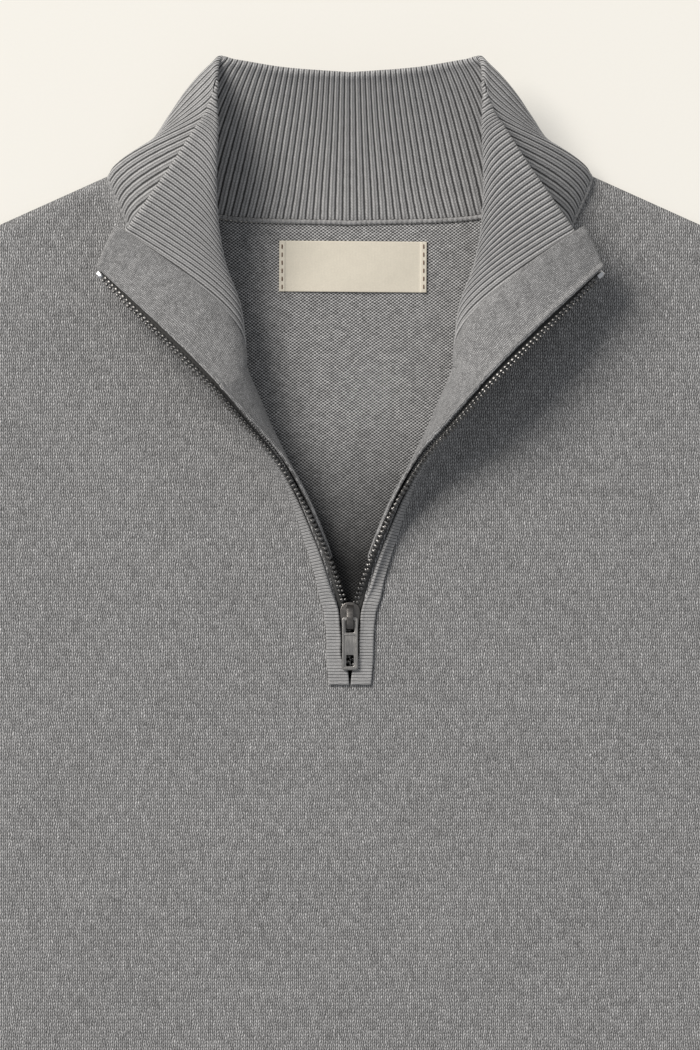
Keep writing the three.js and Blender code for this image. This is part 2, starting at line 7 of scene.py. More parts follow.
# %% Load the frame and note the size of the solids
import math
import bmesh
import bpy
import numpy as np
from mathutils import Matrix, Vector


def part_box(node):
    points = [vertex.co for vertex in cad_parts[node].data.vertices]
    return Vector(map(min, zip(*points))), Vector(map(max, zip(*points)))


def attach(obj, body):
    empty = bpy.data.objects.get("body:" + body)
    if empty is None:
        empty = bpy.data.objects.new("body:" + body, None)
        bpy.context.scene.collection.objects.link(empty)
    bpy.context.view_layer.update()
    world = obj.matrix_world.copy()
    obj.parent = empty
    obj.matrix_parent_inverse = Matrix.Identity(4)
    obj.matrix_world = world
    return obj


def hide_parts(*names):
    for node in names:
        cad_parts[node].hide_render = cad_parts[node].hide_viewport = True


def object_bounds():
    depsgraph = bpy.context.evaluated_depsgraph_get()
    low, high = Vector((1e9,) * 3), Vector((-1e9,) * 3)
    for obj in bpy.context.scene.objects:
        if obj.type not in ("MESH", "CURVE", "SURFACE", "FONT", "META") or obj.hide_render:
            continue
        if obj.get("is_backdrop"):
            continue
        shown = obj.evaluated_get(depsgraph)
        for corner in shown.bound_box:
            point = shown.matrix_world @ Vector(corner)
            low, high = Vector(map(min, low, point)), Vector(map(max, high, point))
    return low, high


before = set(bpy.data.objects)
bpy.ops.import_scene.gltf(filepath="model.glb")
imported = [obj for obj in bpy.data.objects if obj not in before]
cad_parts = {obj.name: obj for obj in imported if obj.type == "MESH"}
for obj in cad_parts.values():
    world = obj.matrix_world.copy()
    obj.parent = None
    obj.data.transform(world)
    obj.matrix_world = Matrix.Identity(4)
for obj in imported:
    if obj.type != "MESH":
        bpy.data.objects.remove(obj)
cad_low, cad_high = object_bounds()
BODY = "sweater"
PULL_BODY = "pull"
MM = 0.001
print("solids from", tuple(cad_low), "to", tuple(cad_high))

# %% [markdown]
# The photograph looks straight down on the garment. A camera far above it with a long
# lens gives the same flat view. All the garment's own sizes below are in millimetres
# from the point where the shoulder seam meets the collar, so one shift along Y brings
# them into the frame. The back panel's lower edge tells how large that shift is.

# %% Camera above the neck
BACK_END_Y = -625.0
SHIFT_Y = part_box("back")[0].y / MM - BACK_END_Y
PHOTO_HEIGHT = 1050
MM_PER_PIXEL = 0.41
SHOULDER_PIXEL_Y = 175
PHOTO_MIDDLE_Y = (SHOULDER_PIXEL_Y - PHOTO_HEIGHT / 2) * MM_PER_PIXEL
CAMERA_HEIGHT = 5.0
CLOTH_LEVEL = 0.006
SENSOR_WIDTH = 36.0
FARTHEST_SEEN = 50.0

lens_data = bpy.data.cameras.new("overhead_camera")
camera = bpy.data.objects.new("overhead_camera", lens_data)
bpy.context.scene.collection.objects.link(camera)
bpy.context.scene.camera = camera
lens_data.sensor_width = SENSOR_WIDTH
lens_data.lens = SENSOR_WIDTH * (CAMERA_HEIGHT - CLOTH_LEVEL) / (PHOTO_HEIGHT * MM_PER_PIXEL * MM)
lens_data.clip_end = FARTHEST_SEEN
camera.location = (0, (PHOTO_MIDDLE_Y + SHIFT_Y) * MM, CAMERA_HEIGHT)
print("camera over y =", round(camera.location.y, 4), "lens", round(lens_data.lens, 1))

# %% [markdown]
# A few tables describe the whole cloth, the same ones that shaped the solids. Each row
# of the front starts at the neckline or at the zip's teeth, rolls up through an arc and
# runs flat to the outer edge. Between the rows a smooth curve fills in, which is how a
# knitted panel behaves: it bends everywhere a little and nowhere sharply.

# %% Sizes of the garment, in millimetres
JERSEY = 1.6
SHOULDER_NECK_X = -98.4
SHOULDER_TIP = (-225.0, -57.0)
UNDERARM = (-268.0, -265.0)
ARMHOLE_CURVE = 24.0
SIDE_SEAM_Y = [-265, -400, -540, -600, -625]
SIDE_SEAM_X = [-268, -266, -264, -256, -244]
HEM_DEPTH = 65.0
HEM_HALF_WIDTH = 240.0
FRONT_EDGE_Z = JERSEY + 0.3 + JERSEY / 2
FRONT_PUFF = 2.0
PUFF_FADE = 45.0
SEAM_GAP = 0.8
PANEL_FROM_TEETH = 3.3

# columns: start x, start y, turn, radius, flap, outer y
NECK_ROWS = [
    (-98.4, 0, 32, 9, 0, -57),
    (-91.4, -18.9, 42, 11, 0, -77),
    (-77, -48.4, 44, 14, 0, -101),
    (-63.6, -55, 46, 16, 0, -114),
    (-51.5, -63, 50, 16, 0, -124),
    (-47.2, -70.3, 60, 16, 0, -132),
    (-43.9, -76.7, 90, 16, 0, -139),
    (-46, -80.5, 125, 16, 0, -144),
    (-55.4, -88.2, 150, 16, 7, -151),
]
ZIP_ROWS = [
    (-55.4, -88.2, 150, 16, 7, -151),
    (-43.1, -102.1, 130, 14, 6.2, -165),
    (-30.8, -116, 108, 12, 5, -180),
    (-20.5, -132, 88, 9.5, 4.5, -197),
    (-12.3, -148.4, 68, 8, 4, -214),
    (-8.2, -157.9, 55, 8, 4, -225),
    (-4.9, -166.9, 38, 7, 4, -235),
    (-2.5, -174.3, 18, 6, 3.5, -245),
    (-1, -182, 0, 6, 3.5, -255),
    (-0.8, -200, 0, 6, 3.5, -272),
    (0, -209.5, 0, 6, 3.5, -290),
]
MIDDLE_ROWS = [
    (0, -209.5, 0, 6, 3.5, -290),
    (0, -235, 0, 6, 3.5, -320),
    (0, -300, 0, 6, 3.5, -380),
    (0, -400, 0, 6, 3.5, -465),
    (0, -520, 0, 6, 3.5, -555),
    (0, -590, 0, 6, 3.5, -600),
    (0, -625, 0, 6, 3.5, -625),
]

# columns: outer edge x, y, edge under the arm x, y, bow, height
SLEEVE_RINGS = [
    (-225.4, -56.6, -268.8, -264.9, 24, 3.6),
    (-262, -73, -270.5, -268, 19, 4.6),
    (-300, -91, -272, -271, 14, 5.2),
    (-368, -133, -276, -278, 7, 5.6),
    (-420, -185, -283, -291, 3, 5.6),
    (-452, -245, -298, -322, 0, 5.6),
    (-485, -330, -334, -392, 0, 5.6),
    (-520, -430, -388, -476, 0, 5.4),
    (-548, -515, -439, -552, 0, 5.2),
    (-565, -565, -473.6, -596, 0, 5),
]


# %% Curves through the tables
def smooth(keys, values, at):
    """A smooth curve through the values, one for each rising key."""
    keys, values = np.asarray(keys, float), np.asarray(values, float)
    slope = np.gradient(values, keys)
    slope[1:-1] = (values[2:] - values[:-2]) / (keys[2:] - keys[:-2])
    k = np.clip(np.searchsorted(keys, at, side="right") - 1, 0, len(keys) - 2)
    span = keys[k + 1] - keys[k]
    t = np.clip((at - keys[k]) / span, 0, 1)
    blend = t * t * (3 - 2 * t)
    base = values[k] + (values[k + 1] - values[k]) * blend
    return base + t * (1 - t) * span * ((1 - t) * slope[k] - t * slope[k + 1])


def ease(t):
    t = np.clip(t, 0, 1)
    return t * t * (3 - 2 * t)


def filled(table, count):
    """A table with smooth rows filled in, so that it has this many."""
    at = np.linspace(0, len(table) - 1, count)
    keys = np.arange(len(table))
    return np.stack([smooth(keys, column, at) for column in zip(*table)], axis=1)


def filled_front(table, count):
    """Filled rows of the front, whose turn never goes below nothing."""
    rows = filled(table, count)
    rows[:, 2] = np.maximum(rows[:, 2], 0)
    return rows


def side_x(y):
    """x of the body's left edge at the height y."""
    y = np.asarray(y, float)
    t = (SHOULDER_TIP[1] - y) / (SHOULDER_TIP[1] - UNDERARM[1])
    armhole = SHOULDER_TIP[0] + (UNDERARM[0] - SHOULDER_TIP[0]) * t
    armhole = armhole + ARMHOLE_CURVE * 4 * t * (1 - t)
    seam = smooth([-v for v in SIDE_SEAM_Y], SIDE_SEAM_X, -y)
    return np.where(y < UNDERARM[1], seam, armhole)


def front_level(x, y):
    """Height of the middle of the front's cloth where it lies on the back."""
    outward = np.clip(np.abs(x / side_x(np.minimum(y, SHOULDER_TIP[1]))), 0, 1)
    slope = SHOULDER_TIP[1] / (SHOULDER_TIP[0] - SHOULDER_NECK_X)
    below = -(np.abs(x) + SHOULDER_NECK_X) * slope - y
    fade = ease(below / PUFF_FADE) * ease((y - BACK_END_Y) / PUFF_FADE)
    return FRONT_EDGE_Z + FRONT_PUFF * (1 - outward**4) * fade


def row_points(rows, along):
    """Points of each row this far along its cloth, and the same with the cloth unrolled."""
    x0, y0, turn, radius, flap, outer_y = [c[:, None] for c in rows.T]
    turn = np.radians(turn)
    outer_x = side_x(outer_y)
    span = np.hypot(outer_x - x0, outer_y - y0)
    dx, dy = (outer_x - x0) / span, (outer_y - y0) / span
    arc = radius * turn
    landing = radius * np.sin(turn) + flap * np.cos(turn)
    left = flap - along
    angle = turn - (along - flap) / radius
    on_flap, on_arc = along < flap, along < flap + arc
    out = np.where(on_arc, landing - radius * np.sin(angle), landing + along - flap - arc)
    out = np.where(on_flap, landing - radius * np.sin(turn) - left * np.cos(turn), out)
    rise = np.where(on_arc, radius * (1 - np.cos(angle)), 0)
    rise = np.where(on_flap, radius * (1 - np.cos(turn)) + left * np.sin(turn), rise)
    x, y = x0 + dx * out, y0 + dy * out
    rest = flap + arc + span - landing - along
    unrolled = np.stack([outer_x - dx * rest, outer_y - dy * rest], axis=-1)
    return np.stack([x, y, front_level(x, y) + rise], axis=-1), unrolled


def row_lengths(rows):
    """How far along its cloth each row reaches its outer edge."""
    x0, y0, turn, radius, flap, outer_y = rows.T
    turn = np.radians(turn)
    span = np.hypot(side_x(outer_y) - x0, outer_y - y0)
    return flap + radius * turn + span - radius * np.sin(turn) - flap * np.cos(turn)


print("tables of", len(NECK_ROWS), len(ZIP_ROWS), len(MIDDLE_ROWS), "front rows")

# %% [markdown]
# Every cloth here is a wall: a grid of points in the middle of the cloth, moved out to
# both faces and closed round its free edges. The Solidify modifier could do that, but a
# function of our own can raise ribs on each face by a different amount, round the edges
# over, weld a tube shut and give both faces their own place in the knit.

# %% A wall of cloth from grids of points
def cloth_grid(points, flat, up, down=None, flat_inner=None):
    """One grid: places, flat coordinates on both faces, reach to the outside and inside."""
    shape = points.shape[:2]
    down = up if down is None else down
    flat_inner = flat if flat_inner is None else flat_inner
    return {
        "points": points, "flat": flat, "flat_inner": flat_inner,
        "up": np.broadcast_to(up, shape), "down": np.broadcast_to(down, shape),
    }


def turned(grid):
    """The same grid with its columns in the other order, which swaps its two faces."""
    return {key: value[:, ::-1] for key, value in grid.items()}


def mirrored(grid):
    """The same grid on the other side of the garment."""
    other = turned(grid)
    other["points"] = other["points"] * [-1, 1, 1]
    other["flat"] = other["flat"] * [-1, 1]
    other["flat_inner"] = other["flat_inner"] * [-1, 1]
    return other


def distance_along(points, axis):
    """How far each point lies along its row or column, from the first point."""
    steps = np.linalg.norm(np.diff(points, axis=axis), axis=-1)
    zero = np.zeros_like(np.take(steps, [0], axis=axis))
    return np.cumsum(np.concatenate([zero, steps], axis=axis), axis=axis)


def rounding(distance, half):
    """How much of its half thickness a rounded edge has at this distance from it."""
    t = 1 - np.clip(distance / half, 0, 1)
    return np.maximum(np.sqrt(1 - t * t), 0.12)


def edges_rounded(points, half, first_row=0, last_row=0, first_column=0, last_column=0):
    """Rounding at the chosen sides of a grid: 1 where the side has a rounded edge."""
    down, across = distance_along(points, 0), distance_along(points, 1)
    share = np.ones(points.shape[:2])
    for chosen, distance in (
        (first_row, down), (last_row, down[-1:] - down),
        (first_column, across), (last_column, across[:, -1:] - across),
    ):
        share = np.minimum(share, 1 - chosen * (1 - rounding(distance, half)))
    return share


def new_piece(name, spots, faces, corners_uv, materials, face_materials=None):
    """A smooth mesh object from quads, with flat coordinates for every corner."""
    mesh = bpy.data.meshes.new(name)
    mesh.vertices.add(len(spots))
    mesh.vertices.foreach_set("co", np.ascontiguousarray(spots, np.float32).ravel())
    mesh.loops.add(faces.size)
    mesh.loops.foreach_set("vertex_index", faces.astype(np.int32).ravel())
    mesh.polygons.add(len(faces))
    mesh.polygons.foreach_set("loop_start", np.arange(0, faces.size, 4, dtype=np.int32))
    mesh.polygons.foreach_set("use_smooth", np.ones(len(faces), bool))
    if face_materials is not None:
        mesh.polygons.foreach_set("material_index", face_materials.astype(np.int32))
    uv = mesh.uv_layers.new(name="knit")
    uv.data.foreach_set("uv", corners_uv.astype(np.float32).ravel())
    mesh.update(calc_edges=True)
    mesh.validate()
    for material in materials:
        mesh.materials.append(material)
    piece = bpy.data.objects.new(name, mesh)
    bpy.context.scene.collection.objects.link(piece)
    return piece


def grid_quads(shape, first=0):
    ids = first + np.arange(shape[0] * shape[1]).reshape(shape)
    quads = [ids[:-1, :-1], ids[:-1, 1:], ids[1:, 1:], ids[1:, :-1]]
    return np.stack(quads, axis=-1).reshape(-1, 4)


def cloth_wall(name, grids, materials):
    """A closed wall over the grids, welded where they meet. The inside has the last material."""
    join = {key: [] for key in ("points", "flat", "flat_inner", "up", "down")}
    sources, first = [], 0
    for grid in grids:
        shape = grid["points"].shape[:2]
        sources.append(grid_quads(shape, first))
        first += shape[0] * shape[1]
        for key in join:
            join[key].append(grid[key].reshape((shape[0] * shape[1],) + grid[key].shape[2:]))
    join = {key: np.concatenate(values) for key, values in join.items()}
    source = np.concatenate(sources)
    rounded = np.round(join["points"] * 200).astype(np.int64)
    _, kept, weld = np.unique(rounded, axis=0, return_index=True, return_inverse=True)
    quad = weld.ravel()[source]
    places = join["points"][kept]
    side = np.cross(places[quad[:, 2]] - places[quad[:, 0]],
                    places[quad[:, 3]] - places[quad[:, 1]])
    normal = np.zeros_like(places)
    for corner in range(4):
        np.add.at(normal, quad[:, corner], side)
    normal /= np.maximum(np.linalg.norm(normal, axis=1, keepdims=True), 1e-12)
    outer = places + normal * join["up"][kept][:, None]
    inner = places - normal * join["down"][kept][:, None]
    count = len(places)
    end, end_source = np.roll(quad, -1, axis=1), np.roll(source, -1, axis=1)
    free = ~np.isin(quad * count + end, end * count + quad)
    a, b = quad[free], end[free]
    a_source, b_source = source[free], end_source[free]
    rim = np.stack([b, a, a + count, b + count], axis=1)
    faces = np.concatenate([quad, quad[:, ::-1] + count, rim])
    uv = np.concatenate([
        join["flat"][source],
        join["flat_inner"][source[:, ::-1]],
        join["flat"][np.stack([b_source, a_source, a_source, b_source], axis=1)],
    ])
    inside = np.zeros(len(faces))
    inside[len(quad):2 * len(quad)] = len(materials) - 1
    spots = (np.concatenate([outer, inner]) + [0, SHIFT_Y, 0]) * MM
    return new_piece(name, spots, faces, uv * MM, materials, inside)


def tidy_mesh(piece):
    """Welds doubled points, closes open ends and turns every face outwards."""
    body = bmesh.new()
    body.from_mesh(piece.data)
    bmesh.ops.remove_doubles(body, verts=body.verts, dist=1e-7)
    bmesh.ops.holes_fill(body, edges=[e for e in body.edges if e.is_boundary], sides=0)
    bmesh.ops.recalc_face_normals(body, faces=body.faces)
    body.to_mesh(piece.data)
    body.free()
    return piece


def dress(piece, nodes, body=BODY):
    """The piece stands for these solids, which it hides, and rides on their body."""
    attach(piece, body)
    if nodes:
        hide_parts(*nodes)
    print(f"{piece.name}: {len(piece.data.polygons)} faces for {', '.join(nodes) or 'no solid'}")
    return piece


# %% [markdown]
# Knit is drawn by arithmetic on the cloth's flat coordinates. A plain knit is columns of
# small Vs, each leg of a V a slanting bead of yarn. Seen from behind it is rows of
# little bumps. Both are products of waves, shifted a little by noise so that no two
# stitches are the same. The same height drives the bump, paints shade into the hollows
# between the yarns and paints light onto their tops. A picture of knit could do it too,
# but a formula stays sharp at any distance.

# %% Helpers that join shader nodes
class Shader:
    """A material's node tree, with short names for the joins that are used here."""

    def __init__(self, name):
        self.material = bpy.data.materials.new(name)
        self.material.use_nodes = True
        self.tree = self.material.node_tree
        self.surface = self.tree.nodes["Principled BSDF"]

    def add(self, kind, inputs, **settings):
        node = self.tree.nodes.new("ShaderNode" + kind)
        for key, value in settings.items():
            setattr(node, key, value)
        for key, value in inputs.items():
            if isinstance(value, bpy.types.NodeSocket):
                self.tree.links.new(value, node.inputs[key])
            else:
                node.inputs[key].default_value = value
        return node

    def math(self, operation, a, b=0.0):
        return self.add("Math", {0: a, 1: b}, operation=operation).outputs[0]

    def vector(self, operation, a, b):
        second = "Scale" if operation == "SCALE" else 1
        return self.add("VectorMath", {0: a, second: b}, operation=operation).outputs[0]

    def noise(self, place, scale, detail=2.0, roughness=0.5, output="Fac"):
        inputs = {"Vector": place, "Scale": scale, "Detail": detail, "Roughness": roughness}
        return self.add("TexNoise", inputs).outputs[output]

    def spread(self, value, low, high, to_low, to_high):
        inputs = {"Value": value, "From Min": low, "From Max": high}
        inputs.update({"To Min": to_low, "To Max": to_high})
        return self.add("MapRange", inputs).outputs["Result"]

    def flat_place(self, wobble, wobble_scale):
        """Flat coordinates in metres, and the same moved a little by noise, as x and y."""
        flat = self.add("UVMap", {}, uv_map="knit").outputs["UV"]
        drift = self.noise(flat, wobble_scale, output="Color")
        drift = self.vector("SUBTRACT", drift, (0.5, 0.5, 0.5))
        moved = self.vector("ADD", flat, self.vector("SCALE", drift, wobble))
        parts = self.add("SeparateXYZ", {0: moved})
        return flat, parts.outputs["X"], parts.outputs["Y"]

    def stitches(self, u, v, width, height):
        """A random lightness from 0 to 1 for every stitch."""
        column = self.math("FLOOR", self.math("DIVIDE", u, width))
        row = self.math("FLOOR", self.math("DIVIDE", v, height))
        place = self.add("CombineXYZ", {"X": column, "Y": row}).outputs[0]
        return self.add("TexWhiteNoise", {"Vector": place}).outputs["Value"]

    def wave(self, turns):
        """1 at every whole number of turns and 0 half way between."""
        cosine = self.math("COSINE", self.math("MULTIPLY", turns, 2 * math.pi))
        return self.math("ADD", self.math("MULTIPLY", cosine, 0.5), 0.5)

    def finish(self, tint, shade, height, relief, roughness, sheen=0.2):
        """Colour is tint times shade. Height, from 0 to 1, makes the bump."""
        colour = self.vector("SCALE", tint, shade)
        self.tree.links.new(colour, self.surface.inputs["Base Color"])
        bump = self.add("Bump", {"Height": height, "Distance": relief, "Strength": 1.0})
        self.tree.links.new(bump.outputs[0], self.surface.inputs["Normal"])
        self.surface.inputs["Roughness"].default_value = roughness
        self.surface.inputs["Specular IOR Level"].default_value = 0.2
        self.surface.inputs["Sheen Weight"].default_value = sheen
        self.surface.inputs["Sheen Roughness"].default_value = 0.5
        return self.material


# %% Yarn and its small variations
GREY_YARN = (0.43, 0.425, 0.421)
WALE = 1.68 * MM
COURSE = 1.24 * MM
TALL_COURSE = 1.42 * MM
RIB_PITCH = 2.9
RIB_WALE = RIB_PITCH * MM


def heather(shader, flat, light, depth):
    """Lightness of a mixed yarn: specks of fibre, small clouds and a broad drift."""
    specks = shader.spread(shader.noise(flat, 1400, 3.0, 0.7), 0.3, 0.7, -depth, depth)
    clouds = shader.spread(shader.noise(flat, 220), 0.35, 0.65, -0.35 * depth, 0.35 * depth)
    broad = shader.spread(shader.noise(flat, 25), 0.35, 0.65, -0.12 * depth, 0.12 * depth)
    total = shader.math("ADD", shader.math("ADD", specks, clouds), broad)
    return shader.math("ADD", total, light)


# %% Plain knit from its right side: columns of Vs
def plain_knit(name, wale=WALE, course=TALL_COURSE, light=1.0, contrast=0.9, relief=0.35):
    shader = Shader(name)
    flat, u, v = shader.flat_place(wale, 330)
    across = shader.math("PINGPONG", shader.math("DIVIDE", u, wale), 0.5)
    leg = shader.math("SINE", shader.math("MULTIPLY", across, 2 * math.pi))
    leg = shader.math("POWER", shader.math("MAXIMUM", leg, 0.0), 1.0)
    slant = shader.math("MULTIPLY", across, 1.5)
    bead = shader.wave(shader.math("ADD", shader.math("DIVIDE", v, course), slant))
    height = shader.math("MULTIPLY", leg, shader.spread(bead, 0, 1, 0.4, 1.0))
    yarn = heather(shader, flat, light, 0.22)
    odd = shader.spread(shader.stitches(u, v, wale / 2, course), 0, 1, -0.24 * contrast,
                        0.24 * contrast)
    # Painted shade in the hollows between the yarns, painted light on the raised legs.
    painted_hollow_shade = shader.spread(height, 0, 1, 1 - contrast, 1 + 0.3 * contrast)
    shade = shader.math("MULTIPLY", shader.math("ADD", yarn, odd), painted_hollow_shade)
    return shader.finish(GREY_YARN, shade, height, relief * MM, 0.92)


# %% Plain knit from its wrong side: a lattice of bumps
# Painted shade on the back's inside: darker down to the bottom of the neck opening.
PAINTED_SHADE_REACH = 60 * MM
PAINTED_SHADE_DARKEST = 0.12


def wrong_side(name, painted_shade_end=None):
    """With an end given, painted shade darkens the cloth down to there, where the neck opening
    ends deep under the front.
    """
    shader = Shader(name)
    flat, u, v = shader.flat_place(0.8 * MM, 300)
    columns = shader.math("COSINE", shader.math("MULTIPLY", u, 2 * math.pi / WALE))
    courses = shader.math("COSINE", shader.math("MULTIPLY", v, 2 * math.pi / COURSE))
    height = shader.spread(shader.math("MULTIPLY", columns, courses), -1, 1, 0, 1)
    yarn = heather(shader, flat, 0.9, 0.22)
    odd = shader.spread(shader.stitches(u, v, WALE, COURSE), 0, 1, -0.14, 0.14)
    # Painted shade between the bumps and painted light on their tops.
    shade = shader.math("MULTIPLY", shader.math("ADD", yarn, odd),
                        shader.spread(height, 0.2, 0.85, 0.1, 1.4))
    if painted_shade_end is not None:
        # Painted shade, darkest where the neck opening ends.
        depth = shader.spread(v, painted_shade_end, painted_shade_end + PAINTED_SHADE_REACH, PAINTED_SHADE_DARKEST, 1.0)
        shade = shader.math("MULTIPLY", shade, depth)
    return shader.finish(GREY_YARN, shade, height, 0.4 * MM, 0.95)


# %% Rib knit: each rib is one column of Vs beside a deep groove
def rib_knit(name, pitch=RIB_WALE, course=COURSE, light=0.82, groove_shade=0.25, valley_shade=0.42,
             sideways=False):
    shader = Shader(name)
    flat, u, v = shader.flat_place(0.4 * MM, 420)
    if sideways:
        u, v = v, u
    ribs = shader.math("DIVIDE", u, pitch)
    across = shader.math("PINGPONG", ribs, 0.5)
    leg = shader.math("SINE", shader.math("MULTIPLY", across, 2 * math.pi))
    leg = shader.math("POWER", shader.math("MAXIMUM", leg, 0.0), 1.2)
    slant = shader.math("MULTIPLY", across, 1.8)
    bead = shader.wave(shader.math("SUBTRACT", shader.math("DIVIDE", v, course), slant))
    legs = shader.math("MULTIPLY", leg, shader.spread(bead, 0, 1, 0.6, 1.0))
    ridge = shader.spread(shader.wave(ribs), 0.0, 0.25, 0, 1)
    height = shader.math("MULTIPLY", ridge, shader.spread(legs, 0, 1, 0.6, 1.0))
    yarn = heather(shader, flat, light, 0.14)
    # Painted shade in the grooves between the ribs and between the legs, painted light on the
    # legs' tops.
    depth = shader.spread(ridge, 0, 1, groove_shade, 1.0)
    fine = shader.spread(legs, 0, 0.9, valley_shade, 1.3)
    shade = shader.math("MULTIPLY", yarn, shader.math("MULTIPLY", depth, fine))
    return shader.finish(GREY_YARN, shade, height, 0.3 * MM, 0.93)


JERSEY_RIGHT = plain_knit("grey_plain_knit")
JERSEY_WRONG = wrong_side("grey_plain_knit_wrong_side")
# The back's inside carries painted shade near the bottom of the neck opening.
BACK_INSIDE_WITH_PAINTED_SHADE = wrong_side("grey_back_inside_with_painted_shade", painted_shade_end=-160 * MM)
FACING_KNIT = plain_knit("grey_facing_knit", 1.1 * MM, 0.85 * MM, 0.88, 0.8, 0.2)
COLLAR_RIB = rib_knit("grey_collar_rib")
HEM_RIB = rib_knit("grey_hem_rib", groove_shade=0.35, valley_shade=0.5)
TRIM_RIB = rib_knit("grey_trim_rib", 1.3 * MM, 0.8 * MM, 0.76, 0.5, 0.75, sideways=True)
print("knits:", [m.name for m in bpy.data.materials if m.name.startswith("grey")])

# %% [markdown]
# The front panel. Its grid is fine where the cloth rolls and wider apart on the flat
# chest. Soft creases are listed one by one, each with its own length, width and height,
# because a knit on a table never lies quite flat.

# %% Front panel
# columns: from x, y, to x, y, half width, height
FRONT_CREASES = [
    (-150, -150, -60, -215, 22, 0.7),
    (165, -165, 70, -228, 26, 0.6),
    (-40, -240, -70, -330, 20, 0.5),
    (52, -250, 40, -350, 24, 0.45),
    (-210, -300, -130, -420, 30, 1.1),
    (225, -310, 150, -450, 34, 1.2),
    (-120, -480, -20, -560, 32, 1.8),
    (110, -520, 190, -570, 26, 1.7),
    (-215, -500, -190, -600, 22, 1.8),
    (30, -420, 120, -440, 30, 1.3),
    (-250, -330, -190, -372, 13, 1.4),
    (252, -300, 200, -348, 12, 1.5),
]


def crease_height(x, y, creases):
    """Height of soft, slightly bent ridges along short lines, fading at their ends."""
    total = np.zeros_like(x)
    for x0, y0, x1, y1, half_width, height in creases:
        length = math.hypot(x1 - x0, y1 - y0)
        ux, uy = (x1 - x0) / length, (y1 - y0) / length
        along = (x - x0) * ux + (y - y0) * uy
        off = (y - y0) * ux - (x - x0) * uy
        bend = 0.12 * length * np.sin(np.pi * np.clip(along / length, 0, 1))
        ends = ease((along + half_width) / (2 * half_width))
        ends = ends * ease((length + half_width - along) / (2 * half_width))
        total += height * ends * np.exp(-(((off - bend) / half_width) ** 2))
    return total


NECK_COUNT, ZIP_COUNT, MIDDLE_COUNT = 56, 100, 66
EDGE_STEPS = np.array([0, 0.12, 0.35, 0.7, 1.2])
ROLL_STEPS, FLAT_STEPS = 38, 44
ROLL_RUN_OUT = 14.0
SLIT_END_INDEX = 9


def front_grid():
    """The left half of the front, from the shoulder seam down to the hem."""
    neck = filled_front(NECK_ROWS, NECK_COUNT)
    beside = filled_front(ZIP_ROWS, ZIP_COUNT)
    middle = filled_front(MIDDLE_ROWS, MIDDLE_COUNT)
    rows = np.concatenate([neck, beside[1:], middle[1:]])
    neck_at = np.linspace(0, len(NECK_ROWS) - 1, NECK_COUNT)
    zip_at = np.linspace(0, len(ZIP_ROWS) - 1, ZIP_COUNT)[1:]
    corner = np.clip(neck_at - 7, 0, 1)
    open_share = 1 - ease(zip_at - SLIT_END_INDEX)
    start = np.concatenate([
        SEAM_GAP + (PANEL_FROM_TEETH - SEAM_GAP) * corner,
        PANEL_FROM_TEETH * open_share,
        np.zeros(MIDDLE_COUNT - 1),
    ])[:, None]
    edge = np.concatenate([np.ones(NECK_COUNT), open_share > 0.05, np.zeros(MIDDLE_COUNT - 1)])
    arc_end = rows[:, 4] + rows[:, 3] * np.radians(rows[:, 2])
    roll_end = (np.maximum(arc_end, 21) + ROLL_RUN_OUT)[:, None]
    length = row_lengths(rows)[:, None]
    first = start + EDGE_STEPS[None, :]
    roll = first[:, -1:] + (roll_end - first[:, -1:]) * np.linspace(0, 1, ROLL_STEPS)[None, 1:]
    flat_part = roll_end + (length - roll_end) * np.linspace(0, 1, FLAT_STEPS)[None, 1:]
    near_side = length - np.array([0.8, 0.35])[None, :]
    along = np.sort(np.concatenate([first, roll, flat_part, near_side], axis=1), axis=1)
    points, unrolled = row_points(rows, along)
    x, y, z = points[..., 0], points[..., 1], points[..., 2]
    to_side = length - along
    lying = 1 - ease((z - front_level(x, y)) / 3)
    calm = ease(to_side / 20) * ease((y - BACK_END_Y) / 30) * lying
    points[..., 2] += crease_height(x, y, FRONT_CREASES) * calm
    points[..., 2] -= 0.75 * (1 - ease(to_side / 5))
    half = edges_rounded(points, JERSEY / 2, first_row=1, last_column=1)
    opened = 1 - edge[:, None] * (1 - rounding(along - start, JERSEY / 2))
    return cloth_grid(points, unrolled, JERSEY / 2 * np.minimum(half, opened))


def own_creases(left):
    """The right half of the front. Its creases are its own, not a mirror image."""
    right = mirrored(left)
    x, y, z = [right["points"][..., k] for k in range(3)]
    lying = 1 - ease((z - front_level(x, y) - 2) / 3)
    to_side = -side_x(np.minimum(y, SHOULDER_TIP[1])) - x
    calm = ease(to_side / 20) * ease((y - BACK_END_Y) / 30) * lying
    change = crease_height(x, y, FRONT_CREASES) - crease_height(-x, y, FRONT_CREASES)
    right["points"][..., 2] += change * calm
    return right


front_left = front_grid()
front_grids = [front_left, own_creases(front_left)]
front = cloth_wall("front_panel", front_grids, [JERSEY_RIGHT, JERSEY_WRONG])
dress(front, ["front"])

# %% [markdown]
# The back panel lies under the front. Its inside shows in the neck opening, so its upper
# face has the wrong side of the knit and its underside the right side.

# %% Collar seam and back panel
BACK_SEAM = [(0, -19.3, 1.45), (-53.7, -16.8, 1.5), (-80, -9.5, 2)]


